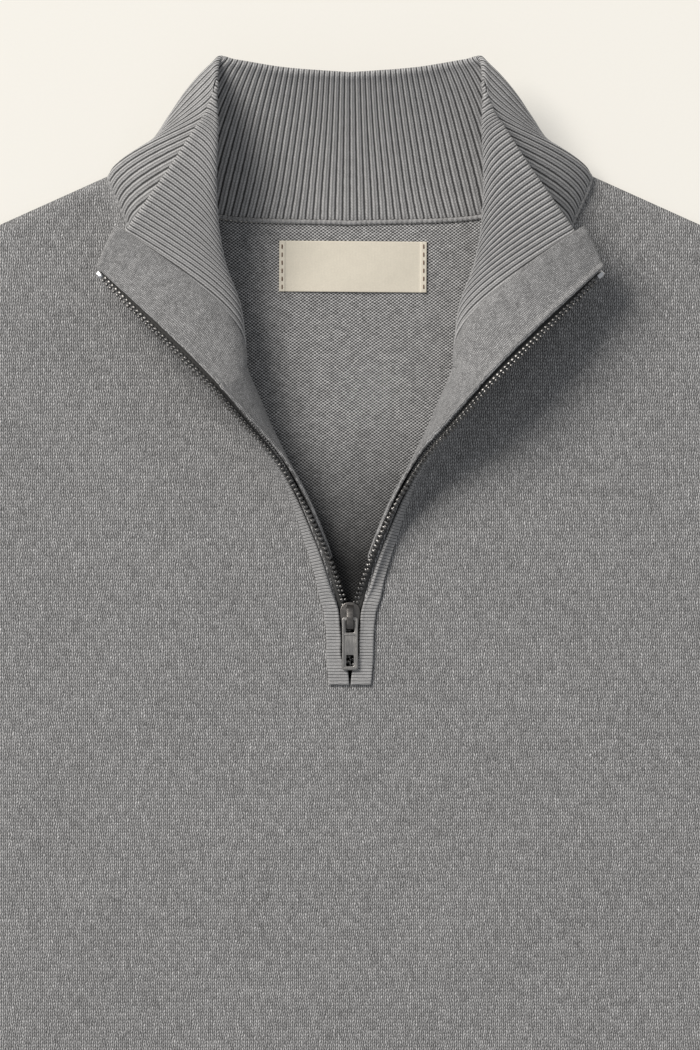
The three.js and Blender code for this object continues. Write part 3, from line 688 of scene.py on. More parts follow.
def spline_through(points, count=2400):
    """Evenly spaced points on a smooth curve through the given ones, and its length."""
    p = np.asarray(points, float)
    p = np.concatenate([[2 * p[0] - p[1]], p, [2 * p[-1] - p[-2]]])
    gaps = np.linalg.norm(np.diff(p, axis=0), axis=1) ** 0.5
    t = np.linspace(0, 1, 200)[:, None]
    pieces = []
    for i in range(1, len(p) - 2):
        before, here, after = gaps[i - 1], gaps[i], gaps[i + 1]
        a, b, c, d = p[i - 1], p[i], p[i + 1], p[i + 2]
        start = ((b - a) / before - (c - a) / (before + here) + (c - b) / here) * here
        end = ((c - b) / here - (d - b) / (here + after) + (d - c) / after) * here
        pieces.append(b + start * t + (3 * (c - b) - 2 * start - end) * t**2
                      + (2 * (b - c) + start + end) * t**3)
    line = np.concatenate(pieces)
    travelled = np.concatenate([[0], np.cumsum(np.linalg.norm(np.diff(line, axis=0), axis=1))])
    even = np.linspace(0, travelled[-1], count)
    return np.stack([np.interp(even, travelled, line[:, k]) for k in range(3)], 1), travelled[-1]


neck_starts = row_points(np.array(NECK_ROWS, float), np.zeros((len(NECK_ROWS), 1)))[0][:, 0]
SEAM_LINE, SEAM_LENGTH = spline_through(BACK_SEAM + [tuple(p) for p in neck_starts])
BACK_CREASES = [(-30, -80, 20, -150, 18, 0.5), (35, -60, 10, -110, 14, 0.4),
                (-8, -150, 6, -200, 10, 0.3)]
print("half of the collar's seam:", round(SEAM_LENGTH, 1), "mm")


def on_seam(share):
    at = np.clip(share, 0, 1) * (len(SEAM_LINE) - 1)
    return np.stack([np.interp(at, np.arange(len(SEAM_LINE)), SEAM_LINE[:, k])
                     for k in range(3)], axis=-1)


def back_grid(columns=100, rows=90):
    """The left half of the back, from the middle to the side seam."""
    across = np.sort(np.concatenate([np.linspace(0, 1, columns), [0.9985, 0.9965]]))
    neck = SEAM_LINE[:np.argmax(SEAM_LINE[:, 0] < SHOULDER_NECK_X + 3)]
    top_x = across * SHOULDER_TIP[0]
    shoulder = (SHOULDER_NECK_X - top_x) / (SHOULDER_NECK_X - SHOULDER_TIP[0])
    shoulder = SHOULDER_TIP[1] * np.clip(shoulder, 0, 1)
    neck_y = np.interp(-top_x, -neck[:, 0], neck[:, 1] - 1.1)
    top_y = np.where(top_x > neck[-1, 0], neck_y, np.minimum(shoulder, neck_y))
    down = np.concatenate([[0.0006, 0.0014, 0.9986, 0.9994], np.linspace(0, 1, rows) ** 1.15])
    down = np.unique(down)
    y = top_y[None, :] + (BACK_END_Y - top_y[None, :]) * down[:, None]
    x = across[None, :] * side_x(np.minimum(y, SHOULDER_TIP[1]))
    z = JERSEY / 2 + crease_height(x, y, BACK_CREASES) * ease((-15 - y) / 20)
    points = np.stack([x, y, z], axis=-1)
    half = JERSEY / 2 * edges_rounded(points, JERSEY / 2, first_row=1, last_column=1)
    return turned(cloth_grid(points, points[..., :2], half))


back_left = back_grid()
back_grids = [back_left, mirrored(back_left)]
# Its upper face has painted shade where the neck opening ends.
back = cloth_wall("back_panel", back_grids, [JERSEY_RIGHT, BACK_INSIDE_WITH_PAINTED_SHADE])
dress(back, ["back"])

# %% [markdown]
# The collar is one ribbed band. Each section of it is a curve from the seam to the top
# edge with two handles, read from the photograph. The ribs on the inside stand between
# those on the outside, as in a real rib knit, so the top edge becomes a small zigzag.

# %% Collar
# columns: share of the ribs, low handle x y z, high handle x y z, top x y z
COLLAR_SECTIONS = np.array([
    (0, 0, -2, 2.5, 0, 22.5, 12, 0, 41.4, 24),
    (0.17, -35.3, -1.2, 3, -30.8, 23.4, 13, -26.7, 43.4, 25),
    (0.3, -68, 5, 7, -58, 31, 21, -47.2, 46.7, 27),
    (0.337, -84, 10, 10, -68, 36, 25, -52.5, 47.3, 29),
    (0.4, -92, 11, 16, -54, 31, 36, -54.4, 37.6, 33),
    (0.47, -92, 10, 20, -40, 19.5, 41, -58.8, 25.5, 35),
    (0.55, -86, -7, 21, -36, 4, 42, -63, 19, 35.5),
    (0.65, -72, -25, 18, -33.6, -20.5, 40, -71.8, 5.3, 35),
    (0.76, -59.5, -45, 14, -30.8, -41, 36, -82, -9.4, 33),
    (0.85, -46, -58, 14, -32, -55.3, 34, -90.2, -21, 30.5),
    (0.92, -44, -67, 27, -56, -58, 36, -96, -29.5, 28),
    (1, -70.5, -72.6, 38, -86.1, -58.6, 33, -102.5, -41, 26),
])
COLLAR_RIBS_HALF = 74
COLLAR_WALL = 2.0
RIB_RISE = 0.35
TOP_LENGTH_SHARE = 0.69
# The sway of the ribs is a share of their pitch, the rim's swell is in millimetres.
LONG_SWAY = 0.07
SHORT_SWAY = 0.03
RIM_SWELL = 0.32
random = np.random.default_rng(7)


def collar_points(along, up):
    """Points of the collar: along its ribs, and up from the seam to the top edge."""
    handle = [smooth(COLLAR_SECTIONS[:, 0], column, along) for column in COLLAR_SECTIONS[:, 1:].T]
    low, high, top = [np.stack(handle[k:k + 3], axis=-1) for k in (0, 3, 6)]
    u = up[..., None]
    return (on_seam(along) * (1 - u) ** 3 + 3 * low * u * (1 - u) ** 2
            + 3 * high * u**2 * (1 - u) + top * u**3)


def collar_along(from_teeth, up):
    """The share of the collar's ribs that lies this far from the teeth."""
    return 1 - from_teeth / (SEAM_LENGTH * (1 + (TOP_LENGTH_SHARE - 1) * up))


def rib_profile(ribs):
    """Height of a flat topped ridge at every whole number, from 0 to 1."""
    return 1 - np.abs(np.sin(np.pi * ribs)) ** 2.6


COLLAR_UP = np.concatenate([[0.012, 0.02, 0.035], np.linspace(0.05, 0.93, 36),
                            [0.95, 0.965, 0.977, 0.986, 0.993, 0.998, 1.0]])


def collar_grid(per_rib=6):
    """The left half of the collar, from the middle of the back to the zip."""
    share = np.linspace(0, 1, COLLAR_RIBS_HALF * per_rib + 1)[None, :]
    up = COLLAR_UP[:, None]
    ribs = share * COLLAR_RIBS_HALF
    sway = LONG_SWAY * np.sin(2 * np.pi * (0.6 * up + ribs / 23))
    sway = sway + SHORT_SWAY * np.sin(9 * up - ribs / 3)
    sway = sway * ease(ribs / 5) * ease((COLLAR_RIBS_HALF - ribs) / 5) * ease(up * 8)
    swayed = share + sway / COLLAR_RIBS_HALF
    points = collar_points(collar_along(PANEL_FROM_TEETH, up) * swayed, up + 0 * share)
    height = distance_along(points, 0)
    uneven = 1 + 0.16 * random.standard_normal(COLLAR_RIBS_HALF + 2)
    outside = rib_profile(ribs) * uneven[np.round(ribs).astype(int)]
    inside = rib_profile(ribs + 0.5) * uneven[np.floor(ribs).astype(int)]
    to_top = height[-1:] - height
    swell = RIM_SWELL * np.exp(-((to_top - 1.9) / 1.6) ** 2)
    across = distance_along(points, 1)
    edge = rounding(to_top, 1.3) * rounding(height + 0.1, 0.8) * (0.75 + 0.25 * ease(height / 6))
    edge = np.minimum(edge, rounding(across[:, -1:] - across, 0.8))
    calm = 1.3 * RIB_RISE * ease(height / 2.5)
    half = COLLAR_WALL / 2 - 0.15 + swell
    flat = np.stack([-ribs * RIB_PITCH + 0 * height, height], axis=-1)
    return cloth_grid(points, flat, (half + calm * outside) * edge,
                      (half + calm * inside) * edge, flat + [0.5 * RIB_PITCH, 0])


collar_left = collar_grid()
collar_grids = [collar_left, mirrored(collar_left)]
collar = cloth_wall("collar_band", collar_grids, [COLLAR_RIB])
dress(collar, ["collar"])

# %% [markdown]
# Three strips follow the zip on each side: the tape that holds the teeth, the plain
# facing on the inside of the lapel, and the narrow ribbed trim on its outside. Each is
# drawn from lines across the zip's edge, moved off the cloth to the side it lies on.

# %% Lines across the zip's edge
ZIP_FINE = filled_front(ZIP_ROWS, 260)
LEVEL_TURN = 42.0


def across_zip(rows, stops):
    """Points at these distances from the teeth. Where the zip is closed they lie level."""
    rolled = row_points(rows, stops)[0]
    level_x = rows[:, :1] - stops
    level_y = rows[:, 1:2] + 0 * stops
    level = np.stack([level_x, level_y, front_level(level_x, level_y)], axis=-1)
    share = ease(rows[:, 2] / LEVEL_TURN)[:, None, None]
    return level + (rolled - level) * share


def beside_zip(stops, last_y, collar_rows=60, wedge_rows=6, top=1.0):
    """Points at the stops from the teeth, from the collar's top down to last_y."""
    stops = np.asarray(stops, float)[None, :]
    up = np.linspace(top, 0, collar_rows)[:, None]
    on_collar = collar_points(collar_along(stops, up), up + 0 * stops)
    on_front = across_zip(ZIP_FINE[ZIP_FINE[:, 1] >= last_y], stops)
    share = np.linspace(0, 1, wedge_rows + 2)[1:-1, None, None]
    wedge = on_collar[-1:] + (on_front[:1] - on_collar[-1:]) * share
    return np.concatenate([on_collar, wedge, on_front])


def strip_flat(points, stops):
    """Flat coordinates of a strip: across from the teeth, and down along it."""
    down = distance_along(points, 0)
    return np.stack([-np.asarray(stops)[None, :] + 0 * down, -down], axis=-1)


# %% Zip tapes
TAPE_STOPS = np.linspace(0.4, 3.1, 9)


def woven_tape(name, tint, light=1.0):
    """A herringbone tape: slanting threads that turn at every second column."""
    shader = Shader(name)
    flat, u, v = shader.flat_place(0.1 * MM, 900)
    across = shader.math("PINGPONG", shader.math("DIVIDE", u, 1.1 * MM), 0.5)
    thread = shader.math("ADD", shader.math("DIVIDE", v, 0.42 * MM),
                         shader.math("MULTIPLY", across, 2.4))
    height = shader.wave(thread)
    yarn = heather(shader, flat, light, 0.1)
    # Painted shade between the threads and painted light on their tops.
    shade = shader.math("MULTIPLY", yarn, shader.spread(height, 0, 1, 0.6, 1.1))
    return shader.finish(tint, shade, height, 0.12 * MM, 0.85)


TAPE_CLOTH = woven_tape("grey_zip_tape", (0.07, 0.069, 0.067))
tape_points = beside_zip(TAPE_STOPS, -200)
tape_half = 0.4 * edges_rounded(tape_points, 0.4, 1, 1, 1, 1)
tape_left = cloth_grid(tape_points, strip_flat(tape_points, TAPE_STOPS), tape_half)
for side, grid in (("left", tape_left), ("right", mirrored(tape_left))):
    tape = cloth_wall(f"tape_{side}", [grid], [TAPE_CLOTH])
    dress(tape, [f"zip_tape_{side}"])

# %% Facings inside the lapels
FACING_STOPS = np.concatenate([[1.75, 1.85, 2.05, 2.4, 2.8, 3.3, 3.8, 4.4],
                               np.linspace(5, 20, 20), [20.5, 20.8, 21]])
FACING_WALL = 1.0
FACING_LIFT = -(COLLAR_WALL / 2 + RIB_RISE + 0.4 + FACING_WALL / 2)
# columns: how far down from the top end, slope, height
FACING_GATHERS = [(4.4, 0.06, 0.75), (6.9, 0.14, 0.95), (9.6, 0.1, 0.7),
                  (13.5, 0.2, 0.5), (19, 0.3, 0.3), (28, 0.35, 0.25), (43, 0.4, 0.25)]


def facing_grid():
    """A plain strip with a folded edge beside the teeth and a few gathers at its top."""
    points = beside_zip(FACING_STOPS, -158, collar_rows=100, top=1.022)
    down = distance_along(points, 0)
    stops = FACING_STOPS[None, :] + 0 * down
    fold = 0.7 * np.exp(-(((stops - 2.6) / 0.65) ** 2))
    fold -= 0.22 * np.exp(-(((stops - 4.5) / 0.5) ** 2))
    gathers = np.zeros_like(down)
    for at, slope, height in FACING_GATHERS:
        ridge = np.exp(-(((down - at - slope * stops) / 0.8) ** 2))
        gathers += height * ridge * ease((stops - 5) / 3) * ease((20 - stops) / 6)
    lift = FACING_LIFT + 0.55 * ease((stops - 17) / 4)
    lip = 0.55 * np.exp(-(((down - 1.5) / 1.3) ** 2)) * ease((21 - stops) / 3)
    half = (FACING_WALL / 2 + lip) * edges_rounded(points, 0.8, 1, 1, 1, 1)
    flat = strip_flat(points, FACING_STOPS)
    return cloth_grid(points, flat, lift + half, -lift + half + fold + gathers)


facing_left = facing_grid()
for side, grid in (("left", facing_left), ("right", mirrored(facing_left))):
    facing = cloth_wall(f"lapel_facing_{side}", [grid], [FACING_KNIT])
    dress(facing, [f"facing_{side}"])

# %% Ribbed trims outside the lapels
TRIM_WALL = 1.2
TRIM_LIFT = JERSEY / 2 + 0.4 + TRIM_WALL / 2
TRIM_PITCH = 1.3
TRIM_END_Y = -209.2
# columns: y, inner edge from the teeth, outer edge from the teeth
TRIM_EDGES = [(-80, 3.2, 10.5), (-150, 3.2, 10.5), (-170, 3.2, 9.9), (-184, 3.2, 9.2),
              (-190, 2.7, 8.9), (-197.5, 2.6, 8.7), (-203, 0.35, 8.6), (-212, 0.35, 8.6)]


def trim_grid(count=620):
    """A strip with fine cross ribs. Its inner edge moves to the middle at the foot."""
    share = np.concatenate([[0, 0.02, 0.06, 0.12], np.linspace(0.2, 0.86, 9),
                            [0.92, 0.96, 0.985, 1]])
    rows = ZIP_FINE[ZIP_FINE[:, 1] >= TRIM_END_Y]
    at = np.linspace(0, len(rows) - 1, count)
    rows = np.stack([np.interp(at, np.arange(len(rows)), column) for column in rows.T], axis=1)
    key, inner, outer = zip(*TRIM_EDGES)
    inner = smooth([-y for y in key], inner, -rows[:, 1:2])
    outer = smooth([-y for y in key], outer, -rows[:, 1:2])
    stops = inner + (outer - inner) * share[None, :]
    points = across_zip(rows, stops)
    down = distance_along(points, 0)[:, -1:] + 0 * stops
    plain = ease((down - down[-1:] + 12) / 3)
    ridge = 0.14 * rib_profile(down / TRIM_PITCH) * (1 - 0.8 * plain)
    fold = 0.35 * np.exp(-(((stops - inner - 0.7) / 0.55) ** 2)) * (1 - plain)
    half = TRIM_WALL / 2 * edges_rounded(points, TRIM_WALL / 2, 1, 1, 1, 1)
    flat = np.stack([-stops, -down], axis=-1)
    return cloth_grid(points, flat, TRIM_LIFT + half + ridge + fold, -TRIM_LIFT + half)


trim_left = trim_grid()
for side, grid in (("left", trim_left), ("right", mirrored(trim_left))):
    trim = cloth_wall(f"ribbed_trim_{side}", [grid], [TRIM_RIB])
    dress(trim, [f"trim_{side}"])

# %% [markdown]
# Sleeves, cuffs and hem are flat tubes. A ring runs over the top, round the fold, back
# along the underside and round the other fold. The rings follow the arm.

# %% Flat tubes
def flat_tube(a, b, bow, z_low, z_high, around):
    """Rings from edge a to edge b and back under, at these shares of the way round."""
    width = np.hypot(*(b - a).T)[:, None]
    radius = ((z_high - z_low) / 2)[:, None]
    straight, arc = width - 2 * radius, np.pi * radius
    q = around * 2 * (straight + arc)
    turn_b = np.clip((q - straight) / radius, 0, np.pi)
    turn_a = np.clip((q - 2 * straight - arc) / radius, 0, np.pi)
    top = np.minimum(q, straight)
    under = np.clip(q - straight - arc, 0, straight)
    across = radius + top - under + radius * np.sin(turn_b) - radius * np.sin(turn_a)
    height = np.where(q < straight + arc, radius * np.cos(turn_b), -radius * np.cos(turn_a))
    t = across / width
    x = a[:, :1] + (b - a)[:, :1] * t + bow[:, None] * 4 * t * (1 - t)
    y = a[:, 1:] + (b - a)[:, 1:] * t
    z = ((z_low + z_high) / 2)[:, None] + height
    return np.stack([x, y, z], axis=-1), q


def spread_round(width, radius, straight_steps, arc_steps=9):
    """Shares round a flat tube that are close together at its two folds."""
    straight, arc = width - 2 * radius, np.pi * radius
    half = np.concatenate([np.linspace(0, straight, straight_steps)[:-1],
                           straight + np.linspace(0, arc, arc_steps)[:-1]])
    total = straight + arc
    return np.concatenate([half, total + half, [2 * total]]) / (2 * total)


# %% Sleeves
# columns: from x, y, to x, y, half width, height
SLEEVE_CREASES = [
    (-300, -140, -285, -240, 20, 2.8),
    (-350, -150, -300, -230, 15, 2.2),
    (-425, -230, -330, -300, 20, 3.2),
    (-395, -262, -325, -322, 9, 1.6),
    (-450, -300, -350, -345, 17, 2.5),
    (-500, -440, -420, -470, 15, 2.0),
    (-540, -520, -460, -540, 11, 1.7),
    (300, -120, 280, -220, 23, 2.7),
    (370, -160, 310, -250, 17, 2.4),
    (440, -215, 320, -285, 22, 3.0),
    (410, -290, 345, -330, 9, 1.8),
    (470, -320, 380, -360, 15, 2.5),
    (510, -420, 420, -480, 17, 2.1),
    (545, -530, 470, -550, 11, 1.5),
]
RING_COUNT = 120


def sleeve_grid(sign):
    """A sleeve drawn on the left. The sign is -1 if it is the right one's creases."""
    rings = filled(SLEEVE_RINGS, RING_COUNT)
    number = np.arange(RING_COUNT)
    gather = ease((number - 104) / 15)[:, None] * 0.045
    a, b = rings[:, 0:2], rings[:, 2:4]
    a, b = a + (b - a) * gather, b - (b - a) * gather
    low = np.full(RING_COUNT, JERSEY / 2)
    high = rings[:, 5] - JERSEY / 2
    width = np.hypot(*(b - a).T)
    around = np.stack([spread_round(w, (h - l) / 2, 44) for w, h, l in zip(width, high, low)])
    points, q = flat_tube(a, b, rings[:, 4], low, high, around)
    x, y, z = [points[..., k] for k in range(3)]
    on_top = ease((z - low[:, None]) / (high - low)[:, None])
    ends = (ease(number / 12) * ease((RING_COUNT - 1 - number) / 8))[:, None]
    points[..., 2] += crease_height(sign * x, y, SLEEVE_CREASES) * on_top * ends
    quarter = q.shape[1] // 4
    down = distance_along(points, 0)[:, quarter:quarter + 1] + 0 * q
    flat = np.stack([q - width[:, None] / 2, -down], axis=-1)
    half = JERSEY / 2 * edges_rounded(points, JERSEY / 2, first_row=1, last_row=1)
    return turned(cloth_grid(points, flat, half))


for side, grid in (("left", sleeve_grid(1)), ("right", mirrored(sleeve_grid(-1)))):
    sleeve = cloth_wall(f"knit_sleeve_{side}", [grid], [JERSEY_RIGHT, JERSEY_WRONG])
    dress(sleeve, [f"sleeve_{side}"])

# %% Cuffs and hem
CUFF_WIDTH, CUFF_LENGTH, CUFF_HEIGHT = 86.0, 65.0, 5.2
DEPTH_SHARES = np.concatenate([[0, 0.004, 0.012], np.linspace(0.03, 0.97, 16),
                               [0.988, 0.996, 1]])


def ribbed_tube(a, b, low, high, per_rib=6):
    """A tube of rib knit between two edges, with ribs all the way round."""
    rows = len(a)
    width = np.hypot(*(b - a).T)[0]
    radius = (high - low) / 2
    girth = 2 * (width - 2 * radius + np.pi * radius)
    count = int(round(girth / RIB_PITCH))
    around = np.linspace(0, 1, count * per_rib + 1)[None, :] + np.zeros((rows, 1))
    points, _ = flat_tube(a, b, np.zeros(rows), np.full(rows, low), np.full(rows, high), around)
    ribs = around * count
    down = distance_along(points, 0)
    flat = np.stack([ribs * RIB_PITCH, -down], axis=-1)
    half = 0.7 * edges_rounded(points, 0.9, first_row=1, last_row=1)
    calm = 0.5 * ease(down / 2) * ease((down[-1:] - down) / 1.2)
    up = half + calm * rib_profile(ribs)
    inside = half + calm * rib_profile(ribs + 0.5)
    return turned(cloth_grid(points, flat, up, inside, flat + [0.5 * RIB_PITCH, 0]))


def cuff_grid():
    end = np.array(SLEEVE_RINGS[-1])
    a, b = end[0:2], end[2:4]
    across = (b - a) / np.hypot(*(b - a))
    outward = np.array([across[1], -across[0]])
    middle = (a + b) / 2 + outward * 0.4
    start = middle - across * CUFF_WIDTH / 2 + outward * CUFF_LENGTH * DEPTH_SHARES[:, None]
    return ribbed_tube(start, start + across * CUFF_WIDTH, 1.1, CUFF_HEIGHT - 0.8)


cuff_left = cuff_grid()
for side, grid in (("left", cuff_left), ("right", mirrored(cuff_left))):
    cuff = cloth_wall(f"ribbed_cuff_{side}", [grid], [HEM_RIB])
    dress(cuff, [f"cuff_{side}"])

hem_y = BACK_END_Y - 0.4 - HEM_DEPTH * DEPTH_SHARES
hem_a = np.stack([-HEM_HALF_WIDTH + 0 * hem_y, hem_y], axis=1)
hem_grids = [ribbed_tube(hem_a, hem_a * [-1, 1], 1.05, 3.2, per_rib=5)]
hem = cloth_wall("hem_band", hem_grids, [HEM_RIB])
dress(hem, ["hem_front", "hem_back"])

# %% [markdown]
# A sewn seam joins the collar to the body. Up close it is a small round bead of yarn
# with a stitch for every rib, so a swept tube with the knit on it does.

# %% Neck seam
SEAM_END = 0.985
SEAM_RADIUS = 0.95


def swept_tube(name, line, radius, material, sides=10):
    """A round cord along a line, with its own flat coordinates."""
    tangent = np.gradient(line, axis=0)
    tangent /= np.linalg.norm(tangent, axis=1, keepdims=True)
    side_way = np.cross(tangent, [0, 0, 1])
    side_way /= np.maximum(np.linalg.norm(side_way, axis=1, keepdims=True), 1e-9)
    up_way = np.cross(side_way, tangent)
    angle = np.linspace(0, 2 * np.pi, sides + 1)[None, :, None]
    ring = np.cos(angle) * side_way[:, None] + np.sin(angle) * up_way[:, None]
    points = line[:, None] + radius[:, None, None] * ring
    travelled = distance_along(line[:, None], 0)
    flat = np.stack([travelled + 0 * angle[..., 0], radius[:, None] * angle[..., 0]], axis=-1)
    faces = grid_quads(points.shape[:2])
    spots = (points.reshape(-1, 3) + [0, SHIFT_Y, 0]) * MM
    return tidy_mesh(new_piece(name, spots, faces, flat.reshape(-1, 2)[faces] * MM, [material]))


seam_half = on_seam(np.linspace(0, SEAM_END, 700)) + [0, -0.25, 0.5]
seam_line = np.concatenate([seam_half[::-1], seam_half[1:] * [-1, 1, 1]])
seam_at = np.linspace(-1, 1, len(seam_line))
seam_radius = SEAM_RADIUS + 0.16 * np.cos(3 * np.pi * seam_at * SEAM_END * COLLAR_RIBS_HALF)
seam_radius = seam_radius * np.sqrt(np.clip((1 - np.abs(seam_at)) / 0.02, 0.02, 1))
SEAM_YARN = plain_knit("grey_seam_yarn", 0.9 * MM, 1.1 * MM, 0.9, 0.3, 0.2)
dress(swept_tube("neck_seam", seam_line, seam_radius, SEAM_YARN), [])

# %% [markdown]
# The zip's teeth are small cast blocks, one every 2.15 mm on each edge, each with a head
# and a foot that holds the tape. Their glints tell the eye that they are metal, so head
# and foot are rounded blocks, turned with the edge they sit on. All the teeth of one
# side are one mesh.

# %% Metals
def metal(name, tint, roughness, wear, scale, stretch=(1, 1, 1)):
    """Metal with fine wear: noise moves its lightness, roughness and surface a little."""
    shader = Shader(name)
    place = shader.add("TexCoord", {}).outputs["Object"]
    grain = shader.noise(shader.vector("MULTIPLY", place, stretch), scale, 4.0, 0.65)
    shade = shader.spread(grain, 0.25, 0.75, 1 - wear, 1 + wear)
    shader.finish(tint, shade, grain, 0.02 * MM, roughness, sheen=0.0)
    rough = shader.spread(grain, 0.3, 0.7, roughness - 0.06, roughness + 0.08)
    shader.tree.links.new(rough, shader.surface.inputs["Roughness"])
    shader.surface.inputs["Metallic"].default_value = 1.0
    shader.surface.inputs["Specular IOR Level"].default_value = 0.5
    return shader.material


TOOTH_METAL = metal("gunmetal_teeth", (0.19, 0.185, 0.178), 0.36, 0.45, 900)
SLIDER_METAL = metal("gunmetal_slider", (0.16, 0.15, 0.14), 0.34, 0.2, 700)
PULL_METAL = metal("satin_pull", (0.37, 0.355, 0.335), 0.36, 0.15, 500, (6, 1, 1))
STOP_METAL = metal("silver_stop", (0.7, 0.7, 0.7), 0.25, 0.12, 600)

# %% Teeth
TOOTH_PITCH = 2.15
# columns: how far from the edge of the tape, half sizes along, across and up
TOOTH_BLOCKS = [(-0.6, 0.62, 0.62, 0.95), (0.8, 0.78, 0.7, 0.75)]


def rounded_block(power=0.45, rings=7, sides=12):
    """Points of a block with rounded edges, two units across each way."""
    polar = np.linspace(0.06, np.pi - 0.06, rings)[:, None]
    angle = np.linspace(0, 2 * np.pi, sides + 1)[None, :]
    x, y, z = np.cos(angle) + 0 * polar, np.sin(angle) + 0 * polar, np.cos(polar) + 0 * angle
    bent = [np.sign(v) * np.abs(v) ** power for v in (x, y, z)]
    around = np.sin(polar) ** power
    return np.stack([around * bent[0], around * bent[1], bent[2]], axis=-1)


def blocks(name, places, frames, half_sizes, material):
    """One mesh of many rounded blocks: place, three directions and half sizes of each."""
    block = rounded_block()
    faces = grid_quads(block.shape[:2])
    count = block[..., 0].size
    local = block.reshape(1, -1, 3) * np.asarray(half_sizes)[:, None, :]
    spots = places[:, None] + np.einsum("nvk,nkd->nvd", local, frames)
    spots = (spots.reshape(-1, 3) + [0, SHIFT_Y, 0]) * MM
    faces = (faces[None] + np.arange(len(places))[:, None, None] * count).reshape(-1, 4)
    return tidy_mesh(new_piece(name, spots, faces, np.zeros((faces.size, 2)), [material]))


def at_distances(values, travelled, at):
    return np.stack([np.interp(at, travelled, values[:, k]) for k in range(3)], axis=1)


def unit(vectors):
    return vectors / np.linalg.norm(vectors, axis=1, keepdims=True)


edge = beside_zip([0, 1.0], -200, collar_rows=200)
travelled = distance_along(edge[:, :1], 0)[:, 0]
tooth_at = np.arange(3.4, travelled[-1], TOOTH_PITCH)
tooth_place = at_distances(edge[:, 0], travelled, tooth_at)
tooth_along = unit(at_distances(np.gradient(edge[:, 0], axis=0), travelled, tooth_at))
tooth_across = at_distances(edge[:, 1] - edge[:, 0], travelled, tooth_at)
tooth_across -= tooth_along * np.sum(tooth_across * tooth_along, axis=1, keepdims=True)
tooth_across = unit(tooth_across)
tooth_out = np.cross(tooth_across, tooth_along)
for side, sign, offset in (("left", 1, 0), ("right", -1, TOOTH_PITCH / 2)):
    flip = np.array([sign, 1, 1])
    turn = 0.12 * random.standard_normal(len(tooth_place))[:, None]
    along = tooth_along * np.cos(turn) + tooth_across * np.sin(turn)
    across = tooth_across * np.cos(turn) - tooth_along * np.sin(turn)
    directions = np.stack([along * flip, across * flip, tooth_out * flip], axis=1)
    middles, sizes = [], []
    for inward, *half_sizes in TOOTH_BLOCKS:
        middles.append((tooth_place + tooth_across * inward + tooth_along * offset) * flip)
        sizes.append(half_sizes + 0.04 * random.standard_normal((len(tooth_place), 1)))
    teeth = blocks(f"teeth_{side}", np.concatenate(middles), np.tile(directions, (2, 1, 1)),
                   np.concatenate(sizes), TOOTH_METAL)
    dress(teeth, [])
print("teeth:", len(tooth_place), "on each side")

# %% [markdown]
# The slider, its crown and the pull tab are flat outlines with rounded edges. A filled
# two-dimensional curve with a bevel gives that form directly.

# %% Plates with rounded edges
def round_corners(corners, radius, steps=5):
    """A polygon with each corner replaced by a short curve."""
    corners = np.asarray(corners, float)
    outline = []
    for before, here, after in zip(np.roll(corners, 1, 0), corners, np.roll(corners, -1, 0)):
        one, two = before - here, after - here
        reach = min(radius, np.hypot(*one) / 2.05, np.hypot(*two) / 2.05)
        start = here + one / np.hypot(*one) * reach
        end = here + two / np.hypot(*two) * reach
        for t in np.linspace(0, 1, steps):
            outline.append((1 - t) ** 2 * start + 2 * t * (1 - t) * here + t * t * end)
    return np.array(outline)


def box_outline(half_width, high, low, radius=0.5):
    return round_corners([(-half_width, high), (half_width, high), (half_width, low),
                          (-half_width, low)], radius)


def plate_mesh(name, outlines, thickness, bevel):
    """A flat plate with rounded edges, lying round z = 0. The outlines are in mm."""
    curve = bpy.data.curves.new(name, "CURVE")
    curve.dimensions = "2D"
    curve.fill_mode = "BOTH"
    curve.extrude = (thickness / 2 - bevel) * MM
    curve.bevel_depth = bevel * MM
    curve.bevel_resolution = 3
    curve.offset = -bevel * MM
    for outline in outlines:
        spline = curve.splines.new("POLY")
        spline.points.add(len(outline) - 1)
        for point, (x, y) in zip(spline.points, outline):
            point.co = (x * MM, y * MM, 0, 1)
        spline.use_cyclic_u = True
    holder = bpy.data.objects.new(name, curve)
    bpy.context.scene.collection.objects.link(holder)
    shown = holder.evaluated_get(bpy.context.evaluated_depsgraph_get())
    mesh = bpy.data.meshes.new_from_object(shown)
    bpy.data.objects.remove(holder)
    return mesh


def join_plates(name, parts, material):
    """One piece from plates, each moved to its place in mm. Some stand on their side."""
    body = bmesh.new()
    for mesh, place, sideways in parts:
        first = len(body.verts)
        body.from_mesh(mesh)
        body.verts.ensure_lookup_table()
        for vert in body.verts[first:]:
            x, y, z = vert.co
            if sideways:
                x, y, z = z, x, y
            vert.co = (x + place[0] * MM, y + (place[1] + SHIFT_Y) * MM, z + place[2] * MM)
    bmesh.ops.remove_doubles(body, verts=body.verts, dist=1e-7)
    bmesh.ops.recalc_face_normals(body, faces=body.faces)
    mesh = bpy.data.meshes.new(name)
    body.to_mesh(mesh)
    body.free()
    mesh.materials.append(material)
    mesh.polygons.foreach_set("use_smooth", np.ones(len(mesh.polygons), bool))
    mesh.set_sharp_from_angle(angle=math.radians(35))
    piece = bpy.data.objects.new(name, mesh)
    bpy.context.scene.collection.objects.link(piece)
    return piece


